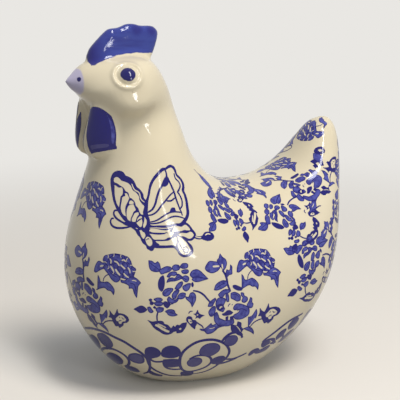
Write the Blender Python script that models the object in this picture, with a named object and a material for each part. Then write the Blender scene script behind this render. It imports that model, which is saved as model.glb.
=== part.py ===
# A sitting hen, slip-cast in one piece of white earthenware: a hollow egg-shaped body that
# rises into a tail behind and a neck and head in front, with a lobed comb, two wattles,
# low eye domes, a flat foot rim and the small hole that the slip was poured out of.
#
# The hen faces -Y and stands on Z = 0. "Forward" below is the distance towards -Y.
# Every shape is a loft: a row of upright or leaning ovals, each given by its upper end and
# its lower end in the hen's mid-plane and by half its width across the hen.

import math
from collections import namedtuple

import bmesh
import bpy
import numpy as np
from mathutils import Matrix, Vector

# Driving sizes, in metres
WALL = 0.0045
VENT_RADIUS = 0.004
FOOT_RIM = 0.007
FOOT_RECESS = 0.0018
EYE_RADIUS = 0.0075
EYE_DEPTH = 0.0034
EYE_RISE = 0.0006
EYE_TURN = math.radians(83.0)
EYE_BEFORE_LINE = 0.12
COMB_HALF_THICKNESS = 0.0053
COMB_ROOT_RADIUS = 0.0105
WATTLE_LENGTH = 0.0315
WATTLE_CHORD = 0.0200
WATTLE_HALF_THICKNESS = 0.0056
WATTLE_SPLAY = math.radians(40.0)
WATTLE_LEAN = math.radians(4.0)
WATTLE_TURN = math.radians(158.0)
WATTLE_SINK = 0.0015

# Fineness of the facets
BODY_RINGS, BODY_SEGMENTS = 78, 48
COMB_RINGS, COMB_SEGMENTS = 44, 16
WATTLE_RINGS, WATTLE_SEGMENTS = 16, 18
EYE_RINGS, EYE_SEGMENTS = 8, 20
CAVITY_RINGS, CAVITY_SEGMENTS = 22, 20

# back and belly are (forward, up). low is how far the widest place sits below the middle,
# as a share, and full is 2 for an ellipse and more for a squarer oval.
Section = namedtuple("Section", "name back belly half_width low full")

TAIL_TIP = (-0.0850, 0.1437)
BEAK_TIP = (0.0796, 0.1717)

BODY = [
    Section("tail tip", TAIL_TIP, TAIL_TIP, 0.0, 0.0, 2.0),
    Section("tail top", (-0.0775, 0.1420), (-0.0892, 0.1372), 0.0085, 0.0, 2.1),
    Section("tail", (-0.0700, 0.1348), (-0.0898, 0.1205), 0.0170, 0.0, 2.1),
    Section("rump", (-0.0580, 0.1200), (-0.0853, 0.0960), 0.0290, 0.03, 2.1),
    Section("hips", (-0.0425, 0.1125), (-0.0765, 0.0525), 0.0420, 0.04, 2.1),
    Section("thighs", (-0.0295, 0.1105), (-0.0515, 0.0170), 0.0495, 0.04, 2.1),
    Section("saddle", (-0.0145, 0.1115), (-0.0160, -0.0032), 0.0515, 0.04, 2.1),
    Section("keel", (-0.0020, 0.1170), (0.0180, -0.0042), 0.0512, 0.04, 2.1),
    Section("crop", (0.0052, 0.1242), (0.0550, 0.0105), 0.0480, 0.04, 2.1),
    Section("breast", (0.0110, 0.1335), (0.0800, 0.0590), 0.0400, 0.03, 2.1),
    Section("collar", (0.0150, 0.1450), (0.0705, 0.1100), 0.0297, 0.0, 2.05),
    Section("neck", (0.0174, 0.1525), (0.0646, 0.1320), 0.0236, 0.0, 2.0),
    Section("throat", (0.0196, 0.1602), (0.0641, 0.1455), 0.0208, 0.0, 2.0),
    Section("jowl", (0.0229, 0.1680), (0.0655, 0.1537), 0.0228, 0.0, 2.1),
    Section("cheek", (0.0292, 0.1786), (0.0684, 0.1604), 0.0234, 0.0, 2.2),
    Section("eye line", (0.0385, 0.1841), (0.0710, 0.1633), 0.0211, 0.0, 2.3),
    Section("brow", (0.0540, 0.1838), (0.0726, 0.1650), 0.0154, 0.0, 2.3),
    Section("cere", (0.0680, 0.1807), (0.0745, 0.1661), 0.0086, 0.0, 2.0),
    Section("beak", (0.0743, 0.1759), (0.0769, 0.1684), 0.0041, 0.0, 2.0),
    Section("beak tip", BEAK_TIP, BEAK_TIP, 0.0, 0.0, 2.0),
]

# The cavity follows the body from inside the tail to inside the head.
CAVITY_FROM, CAVITY_TO = "tail", "eye line"

# The comb's edge from its front foot over three lobes to its rear foot, and how thick the
# blade is there, as a share of COMB_HALF_THICKNESS. Its roots reach towards HEAD_CENTRE.
HEAD_CENTRE = (0.0460, 0.1680)
CombPoint = namedtuple("CombPoint", "name forward up thick")
COMB = [
    CombPoint("front foot", 0.0655, 0.1792, 0.85),
    CombPoint("front edge", 0.0667, 0.1850, 0.95),
    CombPoint("front corner", 0.0653, 0.1884, 1.00),
    CombPoint("front slope", 0.0612, 0.1926, 1.02),
    CombPoint("first lobe rises", 0.0566, 0.1970, 1.02),
    CombPoint("first lobe", 0.0527, 0.1991, 1.00),
    CombPoint("first groove", 0.0490, 0.1989, 0.95),
    CombPoint("middle lobe rises", 0.0450, 0.2006, 0.99),
    CombPoint("middle lobe", 0.0406, 0.2013, 1.00),
    CombPoint("second groove", 0.0354, 0.1997, 0.94),
    CombPoint("rear lobe", 0.0314, 0.2001, 0.98),
    CombPoint("rear lobe falls", 0.0277, 0.1990, 0.98),
    CombPoint("rear corner", 0.0252, 0.1963, 0.96),
    CombPoint("rear edge", 0.0263, 0.1923, 0.92),
    CombPoint("rear foot", 0.0297, 0.1840, 0.85),
]

# A wattle from its hanging point to its lowest point: how far down, where its front edge and
# its rear edge are, and how thick it is, as shares of its length, its chord and its thickest.
WattlePoint = namedtuple("WattlePoint", "down front rear thick")
WATTLE = [
    WattlePoint(0.00, -0.06, -0.06, 0.0),
    WattlePoint(0.04, 0.10, -0.32, 0.50),
    WattlePoint(0.22, 0.19, -0.52, 0.86),
    WattlePoint(0.46, 0.31, -0.62, 1.00),
    WattlePoint(0.70, 0.41, -0.62, 1.00),
    WattlePoint(0.91, 0.31, -0.46, 0.74),
    WattlePoint(1.00, -0.04, -0.04, 0.0),
]


def through(values, at):
    """A natural cubic spline through rows of values at 0, 1, 2..., read at the places in at."""
    values = np.asarray(values, float)
    count = len(values)
    system = np.eye(count)
    bends = np.zeros_like(values)
    for i in range(1, count - 1):
        system[i, i - 1 : i + 2] = (1, 4, 1)
        bends[i] = 6 * (values[i - 1] - 2 * values[i] + values[i + 1])
    bends = np.linalg.solve(system, bends)
    at = np.asarray(at, float)
    low = np.clip(at.astype(int), 0, count - 2)
    u = (at - low)[:, None]
    w = 1 - u
    return (
        (bends[low] * w**3 + bends[low + 1] * u**3) / 6
        + (values[low] - bends[low] / 6) * w
        + (values[low + 1] - bends[low + 1] / 6) * u
    )


def spread(sections, rings, start=0, stop=None):
    """Rows of ovals, evenly placed along a list of sections."""
    stop = len(sections) - 1 if stop is None else stop
    values = [(*s.back, *s.belly, s.half_width, s.low, s.full) for s in sections]
    rows = through(values, np.linspace(start, stop, rings + 1))
    rows[:, 4] = np.maximum(rows[:, 4], 0.0)
    return rows


def on_section(row, angle):
    """A point of one oval. Angle 0 is its upper end and half a turn its lower end."""
    back_f, back_z, belly_f, belly_z, half_width, low, full = row
    along, across = math.cos(angle), math.sin(angle)
    along = math.copysign(abs(along) ** (2 / full), along)
    across = math.copysign(abs(across) ** (2 / full), across) * (1 - low * along)
    forward = (back_f + belly_f) / 2 + (back_f - belly_f) / 2 * along
    up = (back_z + belly_z) / 2 + (back_z - belly_z) / 2 * along
    return Vector((half_width * across, -forward, up))


def loft(name, rows, segments):
    """Wraps a flat grid round a row of ovals, and welds its seam and its two ends."""
    bm = bmesh.new()
    last = len(rows) - 1
    bmesh.ops.create_grid(bm, x_segments=last, y_segments=segments, size=1.0)
    for v in bm.verts:
        ring = round((v.co.x + 1) / 2 * last)
        turn = round((v.co.y + 1) / 2 * segments) % segments
        v.co = on_section(rows[ring], 2 * math.pi * turn / segments)
    bmesh.ops.remove_doubles(bm, verts=bm.verts, dist=1e-6)
    ends = [e for e in bm.edges if e.is_boundary]
    if ends:
        bmesh.ops.holes_fill(bm, edges=ends)
    bmesh.ops.recalc_face_normals(bm, faces=bm.faces)
    return object_from(name, bm)


def object_from(name, bm):
    for face in bm.faces:
        face.smooth = len(face.verts) <= 4
    mesh = bpy.data.meshes.new(name)
    bm.to_mesh(mesh)
    bm.free()
    obj = bpy.data.objects.new(name, mesh)
    bpy.context.scene.collection.objects.link(obj)
    return obj


def helper(obj):
    """Marks an object that only shapes the hen."""
    obj.hide_render = True
    obj.display_type = "WIRE"
    return obj


def cut_level(obj, height):
    """Cuts everything below a height away and closes the cut with a flat face."""
    bm = bmesh.new()
    bm.from_mesh(obj.data)
    everything = bm.verts[:] + bm.edges[:] + bm.faces[:]
    cut = bmesh.ops.bisect_plane(
        bm, geom=everything, plane_co=(0, 0, height), plane_no=(0, 0, 1), clear_inner=True
    )
    rim = [e for e in cut["geom_cut"] if isinstance(e, bmesh.types.BMEdge)]
    flat = bmesh.ops.contextual_create(bm, geom=rim)["faces"]
    for face in flat:
        face.smooth = False
    bmesh.ops.recalc_face_normals(bm, faces=bm.faces)
    bm.to_mesh(obj.data)
    bm.free()


def make_body():
    body = loft("hen", spread(BODY, BODY_RINGS), BODY_SEGMENTS)
    cut_level(body, 0.0)
    return body


def foot_of(body):
    """The flat foot's centre along the hen and its half length and half width."""
    flat = [v.co for v in body.data.vertices if abs(v.co.z) < 1e-6]
    front, rear = min(p.y for p in flat), max(p.y for p in flat)
    half_width = max(p.x for p in flat)
    return (front + rear) / 2, (rear - front) / 2, half_width


def make_comb():
    """A lobed blade whose sections fan out from inside the head."""
    centre = np.array(HEAD_CENTRE)
    sections = []
    for point in COMB:
        crest = np.array((point.forward, point.up))
        outward = (crest - centre) / np.linalg.norm(crest - centre)
        root = centre + outward * COMB_ROOT_RADIUS
        half = COMB_HALF_THICKNESS * point.thick
        sections.append(Section(point.name, tuple(crest), tuple(root), half, 0.12, 2.5))
    front, rear = sections[0], sections[-1]
    closed_front = front._replace(back=front.belly, half_width=0.0)
    closed_rear = rear._replace(back=rear.belly, half_width=0.0)
    sections = [closed_front, *sections, closed_rear]
    return helper(loft("comb_shape", spread(sections, COMB_RINGS), COMB_SEGMENTS))


def on_head(body, section_name, further, turn):
    """A place on the head and the way it faces. further is a share of the way from a section
    to the next, and turn is the angle down from the crest."""
    line = [section.name for section in BODY].index(section_name) + further
    (row,) = spread(BODY, 0, line, line)
    _, place, normal, _ = body.closest_point_on_mesh(on_section(row, turn))
    return place, normal


def make_wattle(body, side):
    """One hanging lobe: narrow where it leaves the chin, fullest two thirds of the way down."""
    sections = []
    for point in WATTLE:
        up = -point.down * WATTLE_LENGTH
        front, rear = point.front * WATTLE_CHORD, point.rear * WATTLE_CHORD
        half = WATTLE_HALF_THICKNESS * point.thick
        sections.append(Section("lobe", (front, up), (rear, up), half, 0.0, 2.2))
    name = "wattle_left_shape" if side > 0 else "wattle_right_shape"
    lobe = loft(name, spread(sections, WATTLE_RINGS), WATTLE_SEGMENTS)
    chin, normal = on_head(body, "cheek", 0.0, side * WATTLE_TURN)
    lobe.data.transform(
        Matrix.Translation(chin - normal * WATTLE_SINK)
        @ Matrix.Rotation(-side * WATTLE_SPLAY, 4, "Z")
        @ Matrix.Rotation(side * WATTLE_LEAN, 4, "Y")
    )
    return helper(lobe)


def make_eye(body, side):
    """A shallow dome, sunk into the side of the head."""
    place, normal = on_head(body, "eye line", EYE_BEFORE_LINE, side * EYE_TURN)
    bm = bmesh.new()
    bmesh.ops.create_uvsphere(
        bm, u_segments=EYE_SEGMENTS, v_segments=EYE_RINGS, radius=EYE_RADIUS
    )
    bmesh.ops.scale(bm, verts=bm.verts, vec=(1, 1, EYE_DEPTH / EYE_RADIUS))
    sunk = place - normal * (EYE_DEPTH - EYE_RISE)
    bm.transform(Matrix.Translation(sunk) @ normal.to_track_quat("Z", "Y").to_matrix().to_4x4())
    name = "eye_left_shape" if side > 0 else "eye_right_shape"
    return helper(object_from(name, bm))


def make_cavity():
    """The hollow left when the slip is poured out: the body's ovals, each a wall smaller."""
    names = [section.name for section in BODY]
    rows = spread(BODY, CAVITY_RINGS, names.index(CAVITY_FROM), names.index(CAVITY_TO))
    for row in rows:
        back, belly = row[0:2].copy(), row[2:4].copy()
        inward = (belly - back) / np.linalg.norm(belly - back) * WALL
        row[0:2] = back + inward
        row[2:4] = belly - inward
        row[4] -= WALL
    cavity = loft("cavity_shape", rows, CAVITY_SEGMENTS)
    cut_level(cavity, FOOT_RECESS + WALL)
    return helper(cavity)


def make_foot_recess(foot):
    """The glaze-free hollow inside the foot rim, which keeps the hen from rocking."""
    centre, half_length, half_width = foot
    bm = bmesh.new()
    bmesh.ops.create_cone(
        bm, cap_ends=True, segments=40, radius1=1.0, radius2=0.9, depth=2 * FOOT_RECESS
    )
    size = (half_width - FOOT_RIM, half_length - FOOT_RIM, 1.0)
    bmesh.ops.scale(bm, verts=bm.verts, vec=size)
    bmesh.ops.translate(bm, verts=bm.verts, vec=(0, centre, 0))
    return helper(object_from("foot_recess_shape", bm))


def make_vent(foot):
    bm = bmesh.new()
    bmesh.ops.create_cone(
        bm, cap_ends=True, segments=24, radius1=VENT_RADIUS, radius2=VENT_RADIUS,
        depth=4 * (FOOT_RECESS + WALL),
    )
    bmesh.ops.translate(bm, verts=bm.verts, vec=(0, foot[0], 0))
    return helper(object_from("vent_shape", bm))


def shape_with(obj, other, operation):
    step = obj.modifiers.new(other.name, "BOOLEAN")
    step.operation = operation
    step.object = other
    step.solver = "EXACT"


def glazed_earthenware():
    material = bpy.data.materials.new("glazed_earthenware")
    material.use_nodes = True
    shader = material.node_tree.nodes["Principled BSDF"]
    shader.inputs["Base Color"].default_value = (0.72, 0.66, 0.50, 1.0)
    shader.inputs["Roughness"].default_value = 0.08
    shader.inputs["Metallic"].default_value = 0.0
    return material


def clear_scene():
    for obj in list(bpy.data.objects):
        bpy.data.objects.remove(obj, do_unlink=True)


def centre_over_origin(body, pieces):
    """Moves every shape along Y so that the body reaches as far forward as back."""
    along = [v.co.y for v in body.data.vertices]
    shift = Matrix.Translation((0, -(min(along) + max(along)) / 2, 0))
    for piece in [body, *pieces]:
        piece.data.transform(shift)


clear_scene()
hen = make_body()
foot = foot_of(hen)
raised = [make_comb()]
for side in (1, -1):
    raised.append(make_wattle(hen, side))
    raised.append(make_eye(hen, side))
hollows = [make_cavity(), make_foot_recess(foot), make_vent(foot)]
centre_over_origin(hen, raised + hollows)
for piece in raised:
    shape_with(hen, piece, "UNION")
for piece in hollows:
    shape_with(hen, piece, "DIFFERENCE")
hen.data.materials.append(glazed_earthenware())
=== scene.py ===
# %% [markdown]
# # A blue-and-white ceramic hen
# The hen is a hollow casting of white earthenware under a clear gloss glaze. Its blue is
# cobalt, put on under the glaze in two ways: printed tissue transfers for the flowers, the
# butterfly and the border, and a loaded brush for the comb, the wattles and the beak.
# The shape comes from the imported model, and this file gives it the softness of a casting,
# the glaze, the prints and the paint.

import math

import bmesh
import bpy
import numpy as np
from mathutils import Matrix, Vector, geometry
from mathutils.bvhtree import BVHTree


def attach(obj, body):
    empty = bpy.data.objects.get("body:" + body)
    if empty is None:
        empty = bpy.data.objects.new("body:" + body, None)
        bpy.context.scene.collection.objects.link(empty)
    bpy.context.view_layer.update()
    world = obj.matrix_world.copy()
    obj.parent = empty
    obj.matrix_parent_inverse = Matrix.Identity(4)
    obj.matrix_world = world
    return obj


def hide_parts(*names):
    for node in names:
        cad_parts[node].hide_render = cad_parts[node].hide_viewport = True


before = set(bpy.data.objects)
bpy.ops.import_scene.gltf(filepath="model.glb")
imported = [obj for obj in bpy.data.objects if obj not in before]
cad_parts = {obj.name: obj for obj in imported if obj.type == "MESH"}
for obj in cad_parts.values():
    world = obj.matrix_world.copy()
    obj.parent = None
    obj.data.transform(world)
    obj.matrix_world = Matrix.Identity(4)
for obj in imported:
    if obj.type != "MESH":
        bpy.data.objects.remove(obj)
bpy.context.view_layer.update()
MM = 0.001
hen_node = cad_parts["hen"]

# %% [markdown]
# ## The camera
# The photo was taken from the hen's left front, a little above it, from about half a metre:
# near enough that the breast looks larger than the tail. A narrow lens from further away
# would flatten that, so the distance is kept and the lens is chosen to fill the frame.

# %% Camera
CAMERA_AROUND, CAMERA_ABOVE, CAMERA_AWAY = 63.0, 13.0, 0.54
FIELD_OF_VIEW = math.radians(24.0)
FULL_FRAME = 36.0
LOOK_AT = Vector((0.0, -0.0051, 0.100))


def put_round_the_hen(obj, around, above, away, target):
    """Puts a camera or a lamp at a bearing and a height in degrees and turns it to a target."""
    a, e = math.radians(around), math.radians(above)
    back = Vector((math.sin(a) * math.cos(e), -math.cos(a) * math.cos(e), math.sin(e)))
    obj.location = target + back * away
    obj.rotation_euler = back.to_track_quat("Z", "Y").to_euler()
    bpy.context.scene.collection.objects.link(obj)


camera_data = bpy.data.cameras.new("camera")
camera_data.sensor_width = FULL_FRAME
camera_data.angle = FIELD_OF_VIEW
camera = bpy.data.objects.new("camera", camera_data)
put_round_the_hen(camera, CAMERA_AROUND, CAMERA_ABOVE, CAMERA_AWAY, LOOK_AT)
bpy.context.scene.camera = camera
print("camera", CAMERA_AWAY, "m away")

# %% [markdown]
# ## The skin
# A casting has no sharp meeting lines: the comb, the eyes and the wattles grow out of the
# head in small fillets, because the plaster mould has them and the glaze fills them further.
# Bevelling the lines where they meet would need a clean edge all the way round each. It is
# simpler to work as a potter does: take the whole shape as one lump of clay, which is what a
# voxel remesh makes, and sponge it, which is what smoothing does. The hollow inside is cut
# out afterwards, so that it keeps its few plain faces.

# %% Helpers for meshes
def new_object(name, bm):
    mesh = bpy.data.meshes.new(name)
    bm.to_mesh(mesh)
    bm.free()
    obj = bpy.data.objects.new(name, mesh)
    bpy.context.scene.collection.objects.link(obj)
    return obj


def apply_modifiers(obj):
    """Bakes an object's modifiers into its mesh."""
    depsgraph = bpy.context.evaluated_depsgraph_get()
    obj.data = bpy.data.meshes.new_from_object(obj.evaluated_get(depsgraph))
    obj.modifiers.clear()


def linked_faces(start):
    """All faces that can be reached from one face over shared edges."""
    found, front = {start}, [start]
    while front:
        for edge in front.pop().edges:
            for face in edge.link_faces:
                if face not in found:
                    found.add(face)
                    front.append(face)
    return found


# %% Split the casting into its outside and its hollow
VENT_Y = -11.15 * MM
VENT_RADIUS = 4.0 * MM
VENT_SLACK = 0.1 * MM
FLOOR_TOP = 6.3 * MM
SAME_POINT = 0.01 * MM

casting = bmesh.new()
casting.from_mesh(hen_node.data)
bmesh.ops.remove_doubles(casting, verts=casting.verts, dist=SAME_POINT)


def on_vent_wall(face):
    """Whether a face is part of the pouring hole's wall."""
    middle = face.calc_center_median()
    near = math.hypot(middle.x, middle.y - VENT_Y) < VENT_RADIUS + VENT_SLACK
    upright = abs(face.normal.z) < 0.5
    return near and upright and middle.z < FLOOR_TOP


bmesh.ops.delete(casting, geom=[f for f in casting.faces if on_vent_wall(f)], context="FACES")
outside_faces = linked_faces(max(casting.faces, key=lambda f: f.calc_center_median().z))
outside_numbers = {f.index for f in outside_faces}


def lump(keep_outside):
    """One closed shell of the casting, with the pouring hole filled in."""
    bm = casting.copy()
    drop = [f for f in bm.faces if (f.index in outside_numbers) != keep_outside]
    bmesh.ops.delete(bm, geom=drop, context="FACES")
    bmesh.ops.holes_fill(bm, edges=[e for e in bm.edges if e.is_boundary])
    return bm


outside, hollow = lump(True), lump(False)
casting.free()
print("outside", len(outside.faces), "faces, hollow", len(hollow.faces), "faces")

# %% [markdown]
# The outside is made of flat facets some 8 mm long. Joined back into squares they can be
# subdivided to a smooth surface, and lines that are meant to be sharp are creased first, so
# that the subdivision keeps the head from melting into the comb.

# %% Smooth the facets, then take it all as one lump and sponge it
JOIN_FACES, JOIN_SHAPE = math.radians(25), math.radians(60)
SHARP = math.radians(38)
SUBDIVISIONS = 2
VOXEL = 1.15 * MM
SPONGE, SPONGING = 0.5, 12

bmesh.ops.join_triangles(
    outside, faces=outside.faces, angle_face_threshold=JOIN_FACES,
    angle_shape_threshold=JOIN_SHAPE,
)
crease = outside.edges.layers.float.new("crease_edge")
for edge in outside.edges:
    if edge.is_manifold and edge.calc_face_angle() > SHARP:
        edge[crease] = 1.0
skin = new_object("hen_skin", outside)
smooth = skin.modifiers.new("smooth", "SUBSURF")
smooth.levels = smooth.render_levels = SUBDIVISIONS
one_lump = skin.modifiers.new("one_lump", "REMESH")
one_lump.mode = "VOXEL"
one_lump.voxel_size = VOXEL
sponge = skin.modifiers.new("sponge", "SMOOTH")
sponge.factor = SPONGE
sponge.iterations = SPONGING
apply_modifiers(skin)
print("skin", len(skin.data.polygons), "faces")

# %% [markdown]
# ## The comb's flat sides
# The comb is a flat blade, but the sponging left its sides bellied, and a belly shows at once
# under a gloss, because it gathers the light into streaks. A cut with a flat plane would
# leave a hard rim, so the sides are rubbed down instead: a soft minimum takes the half
# thickness to a plane that leans in a little, and rounds the change over.

# %% Rub the comb's sides flat
COMB_FOOT = 184.5 * MM
COMB_ROOT, ROOT_FLARE = 186.5 * MM, 2.0
COMB_HALF, COMB_LEAN = 4.7 * MM, 0.055
RUBBED_EDGE, UNTOUCHED = 0.4 * MM, 8
WIPES = 5

bm = bmesh.new()
bm.from_mesh(skin.data)
comb = [vertex for vertex in bm.verts if vertex.co.z > COMB_FOOT]
for vertex in comb:
    plane = COMB_HALF - COMB_LEAN * (vertex.co.z - COMB_ROOT)
    plane += ROOT_FLARE * max(0.0, COMB_ROOT - vertex.co.z)
    over = (plane - abs(vertex.co.x)) / RUBBED_EDGE
    if over < UNTOUCHED:  # further in, the plane takes nothing off
        rubbed = plane - RUBBED_EDGE * math.log1p(math.exp(over))
        vertex.co.x = math.copysign(rubbed, vertex.co.x)
for _ in range(WIPES):
    bmesh.ops.smooth_vert(
        bm, verts=comb, factor=SPONGE, use_axis_x=True, use_axis_y=True, use_axis_z=True,
    )
bm.to_mesh(skin.data)
bm.free()
print("comb of", len(comb), "vertices, foot", round(2 * COMB_HALF / MM, 1), "mm thick")

# %% [markdown]
# ## The cheeks
# Below each eye the cheek stands proud and ends in a soft step above the neck, which is the
# darkest fold of the head in the photo. More facets in the CAD could carry it, but it is the
# size of a fingertip and has no edge, so it is pressed out of the skin like clay from
# behind: a bell that falls off slowly towards the eye and quickly towards the neck. A
# second, small bell fills the foot of the cheek, which is where it catches a spot of light.

# %% Push the cheeks out
CHEEK_MIDDLE = Vector((23.2, -55.5, 164.8)) * MM
CHEEK_LOOKS = Vector((0.98, -0.14, -0.14))
CHEEK_HIGH = 2.4 * MM
CHEEK_LONG, CHEEK_UPWARDS, CHEEK_DOWNWARDS = 13 * MM, 15 * MM, 10 * MM
FOOT_BELOW, FOOT_HIGH, FOOT_WIDE = 5.3 * MM, 1.8 * MM, 6 * MM
HALF_HEAD = 12 * MM

fullest = 0.0
for vertex in skin.data.vertices:
    side = math.copysign(1, vertex.co.x)
    away = vertex.co - Vector((side * CHEEK_MIDDLE.x, CHEEK_MIDDLE.y, CHEEK_MIDDLE.z))
    along = away.y / CHEEK_LONG
    upwards = away.z / (CHEEK_UPWARDS if away.z > 0 else CHEEK_DOWNWARDS)
    height = CHEEK_HIGH * math.exp(-((along**2 + upwards**2) ** 2))
    from_foot = along**2 + ((away.z + FOOT_BELOW) / FOOT_WIDE) ** 2
    height += FOOT_HIGH * math.exp(-from_foot)
    height *= min(1.0, abs(vertex.co.x) / HALF_HEAD)
    vertex.co += Vector((side * CHEEK_LOOKS.x, CHEEK_LOOKS.y, CHEEK_LOOKS.z)) * height
    fullest = max(fullest, height)
print("cheeks pushed out by up to", round(fullest / MM, 1), "mm")

# %% [markdown]
# ## The eyes
# Each eye is a low dome with a lid round it, and in the photo both catch the light as rings.
# The sponging took most of that away. A ring could be a torus joined on, but the lid fades
# into the head all round, so the skin is pushed out instead: it is subdivided once near the
# eye, and every vertex moves along the eye's own direction by a height that depends only on
# its distance from the middle. The sum of three bell shapes gives dome, groove and lid.

# %% Push the eyes out of the skin
EYE_MIDDLE = Vector((21.6, -57.6, 175.6)) * MM
EYE_LOOKS = Vector((0.90, -0.27, 0.34)).normalized()
EYE_REACH, SWELL = 10.5 * MM, 1.0
EYE_BELLS = (  # distance from the middle, half width and height in mm, and steepness
    (0.0, 4.4, 1.6, 4),  # dome
    (5.7, 0.9, -0.35, 2),  # groove
    (7.4, 1.2, 0.85, 2),  # lid
)


def eye_height(distance):
    """How far the skin stands out at a distance from the eye's middle."""
    return sum(
        high * MM * math.exp(-(((distance - middle * MM) / (wide * MM)) ** steepness))
        for middle, wide, high, steepness in EYE_BELLS
    )


bm = bmesh.new()
bm.from_mesh(skin.data)
for side in (1, -1):
    middle = Vector((side * EYE_MIDDLE.x, EYE_MIDDLE.y, EYE_MIDDLE.z))
    looks = Vector((side * EYE_LOOKS.x, EYE_LOOKS.y, EYE_LOOKS.z))
    near = {v for v in bm.verts if (v.co - middle).length < EYE_REACH}
    bmesh.ops.subdivide_edges(
        bm, edges=[e for e in bm.edges if all(v in near for v in e.verts)], cuts=1,
        use_grid_fill=True, smooth=SWELL,
    )
    for vertex in bm.verts:
        away = vertex.co - middle
        if away.length < EYE_REACH:
            across = (away - looks * away.dot(looks)).length
            vertex.co += looks * eye_height(across)
bm.to_mesh(skin.data)
bm.free()
print("skin with eyes", len(skin.data.polygons), "faces")

# %% [markdown]
# ## The hollow, the foot and the pouring hole
# Slip is poured in through a hole in the base, left to stand, and poured out again, which
# leaves an even wall. The hollow goes in with an exact boolean, and so does the hole. The
# faces of both carry the second material, bare biscuit, because the glaze is only put on
# the outside: glaze on the foot would stick the hen to the kiln shelf.

# %% Cut the hollow and the hole, and flatten the foot
GLAZED, BISCUIT = 0, 1
FOOT_FLAT, STANDS_BELOW = 0.35 * MM, 0.05 * MM
VENT_SIDES, VENT_SPARE = 48, 2 * MM

bmesh.ops.recalc_face_normals(hollow, faces=hollow.faces)
vent = bmesh.new()
bmesh.ops.create_cone(
    vent, cap_ends=True, segments=VENT_SIDES, radius1=VENT_RADIUS, radius2=VENT_RADIUS,
    depth=FLOOR_TOP + 2 * VENT_SPARE, matrix=Matrix.Translation((0, VENT_Y, FLOOR_TOP / 2)),
)
for face in (*hollow.faces, *vent.faces):
    face.material_index = BISCUIT
cutters = [new_object("hollow_cutter", hollow), new_object("hole_cutter", vent)]

bm = bmesh.new()
bm.from_mesh(skin.data)
for vertex in bm.verts:
    if vertex.co.z < FOOT_FLAT:
        vertex.co.z = 0.0
bm.to_mesh(skin.data)
bm.free()
for piece in (skin, *cutters):
    for _ in (GLAZED, BISCUIT):
        piece.data.materials.append(None)
for cutter in cutters:
    cut = skin.modifiers.new(cutter.name, "BOOLEAN")
    cut.operation = "DIFFERENCE"
    cut.solver = "EXACT"
    cut.object = cutter
apply_modifiers(skin)
for cutter in cutters:
    bpy.data.objects.remove(cutter)
for polygon in skin.data.polygons:
    if polygon.center.z < STANDS_BELOW and polygon.normal.z < -0.5:
        polygon.material_index = BISCUIT
    polygon.use_smooth = True
print("cast hen", len(skin.data.polygons), "faces")

# %% [markdown]
# ## The glaze and the painted places
# The body is earthenware under a clear lead-free gloss glaze: a very smooth dielectric over
# a warm cream ground. Such a glaze has an index of about 1.5, and 1.45 matches the strength
# of the real gloss. The comb, the beak, the pupils and the nostrils are cobalt brushed on
# under that glaze, so they shine just as the cream does and only the colour changes.
# Painted places could be a second material on some faces, but the faces are a millimetre
# wide and the edge would be a saw. A mask in object coordinates is as sharp as wanted, and
# a little noise in the coordinates gives the edge a hand's wobble.

# %% One helper for nodes, one for colours
def to_linear(hex_colour):
    """An sRGB hex colour as the linear values that Blender works in."""
    channels = [int(hex_colour[i : i + 2], 16) / 255 for i in (0, 2, 4)]
    linear = [c / 12.92 if c <= 0.04045 else ((c + 0.055) / 1.055) ** 2.4 for c in channels]
    return (*linear, 1.0)


def add(tree, kind, settings=None, inputs=None):
    """Adds a node. An input is a value, a hex colour or another node's output."""
    node = tree.nodes.new("ShaderNode" + kind)
    for name, value in (settings or {}).items():
        setattr(node, name, value)
    for name, value in (inputs or {}).items():
        if isinstance(value, bpy.types.NodeSocket):
            tree.links.new(value, node.inputs[name])
        elif isinstance(value, str):
            node.inputs[name].default_value = to_linear(value)
        else:
            node.inputs[name].default_value = value
    return node


def new_material(name):
    material = bpy.data.materials.new(name)
    material.use_nodes = True
    material.node_tree.nodes.clear()
    print("material", name)
    return material, material.node_tree


# %% The clear glaze that lies over everything
GLAZE_IOR = 1.45
GLAZE_ROUGHNESS = 0.08
WAVES, WAVE_DEPTH = 9 * MM, 0.5 * MM
# Real pinholes are about a third as wide. They are drawn as coarse as they need to show.
PINHOLES, PINHOLE_DEPTH = 0.9 * MM, 0.03 * MM
PINHOLE_BOTTOM, PINHOLE_RIM = 0.22, 0.34
RELIEF = 0.12


def under_clear_glaze(tree, colour):
    """The gloss of a fired glaze over a colour: long soft waves and tiny pinholes."""
    place = add(tree, "TexCoord").outputs["Object"]
    waves = add(tree, "TexNoise", {}, {"Vector": place, "Scale": 1 / WAVES, "Detail": 1.0})
    pits = add(tree, "TexNoise", {}, {"Vector": place, "Scale": 1 / PINHOLES, "Detail": 2.0})
    pitted = add(tree, "MapRange", {}, {
        "Value": pits.outputs["Fac"], "From Min": PINHOLE_BOTTOM, "From Max": PINHOLE_RIM,
    })
    wavy = add(tree, "Bump", {}, {
        "Height": waves.outputs["Fac"], "Strength": RELIEF, "Distance": WAVE_DEPTH,
    })
    pinholed = add(tree, "Bump", {}, {
        "Height": pitted.outputs["Result"], "Strength": RELIEF, "Distance": PINHOLE_DEPTH,
        "Normal": wavy.outputs["Normal"],
    })
    shader = add(tree, "BsdfPrincipled", {}, {
        "Base Color": colour, "Roughness": GLAZE_ROUGHNESS, "IOR": GLAZE_IOR,
        "Normal": pinholed.outputs["Normal"],
    })
    add(tree, "OutputMaterial", {}, {"Surface": shader.outputs["BSDF"]})


# %% [markdown]
# The cream isn't even: where the glaze has run thicker it is warmer, over a few centimetres.
# Each painted place is a distance: how far the point is above the comb's lower line, in
# front of the beak's line, or inside a ball round the eye's middle. The left half uses the
# right half's distances, because X goes in without its sign.

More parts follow.
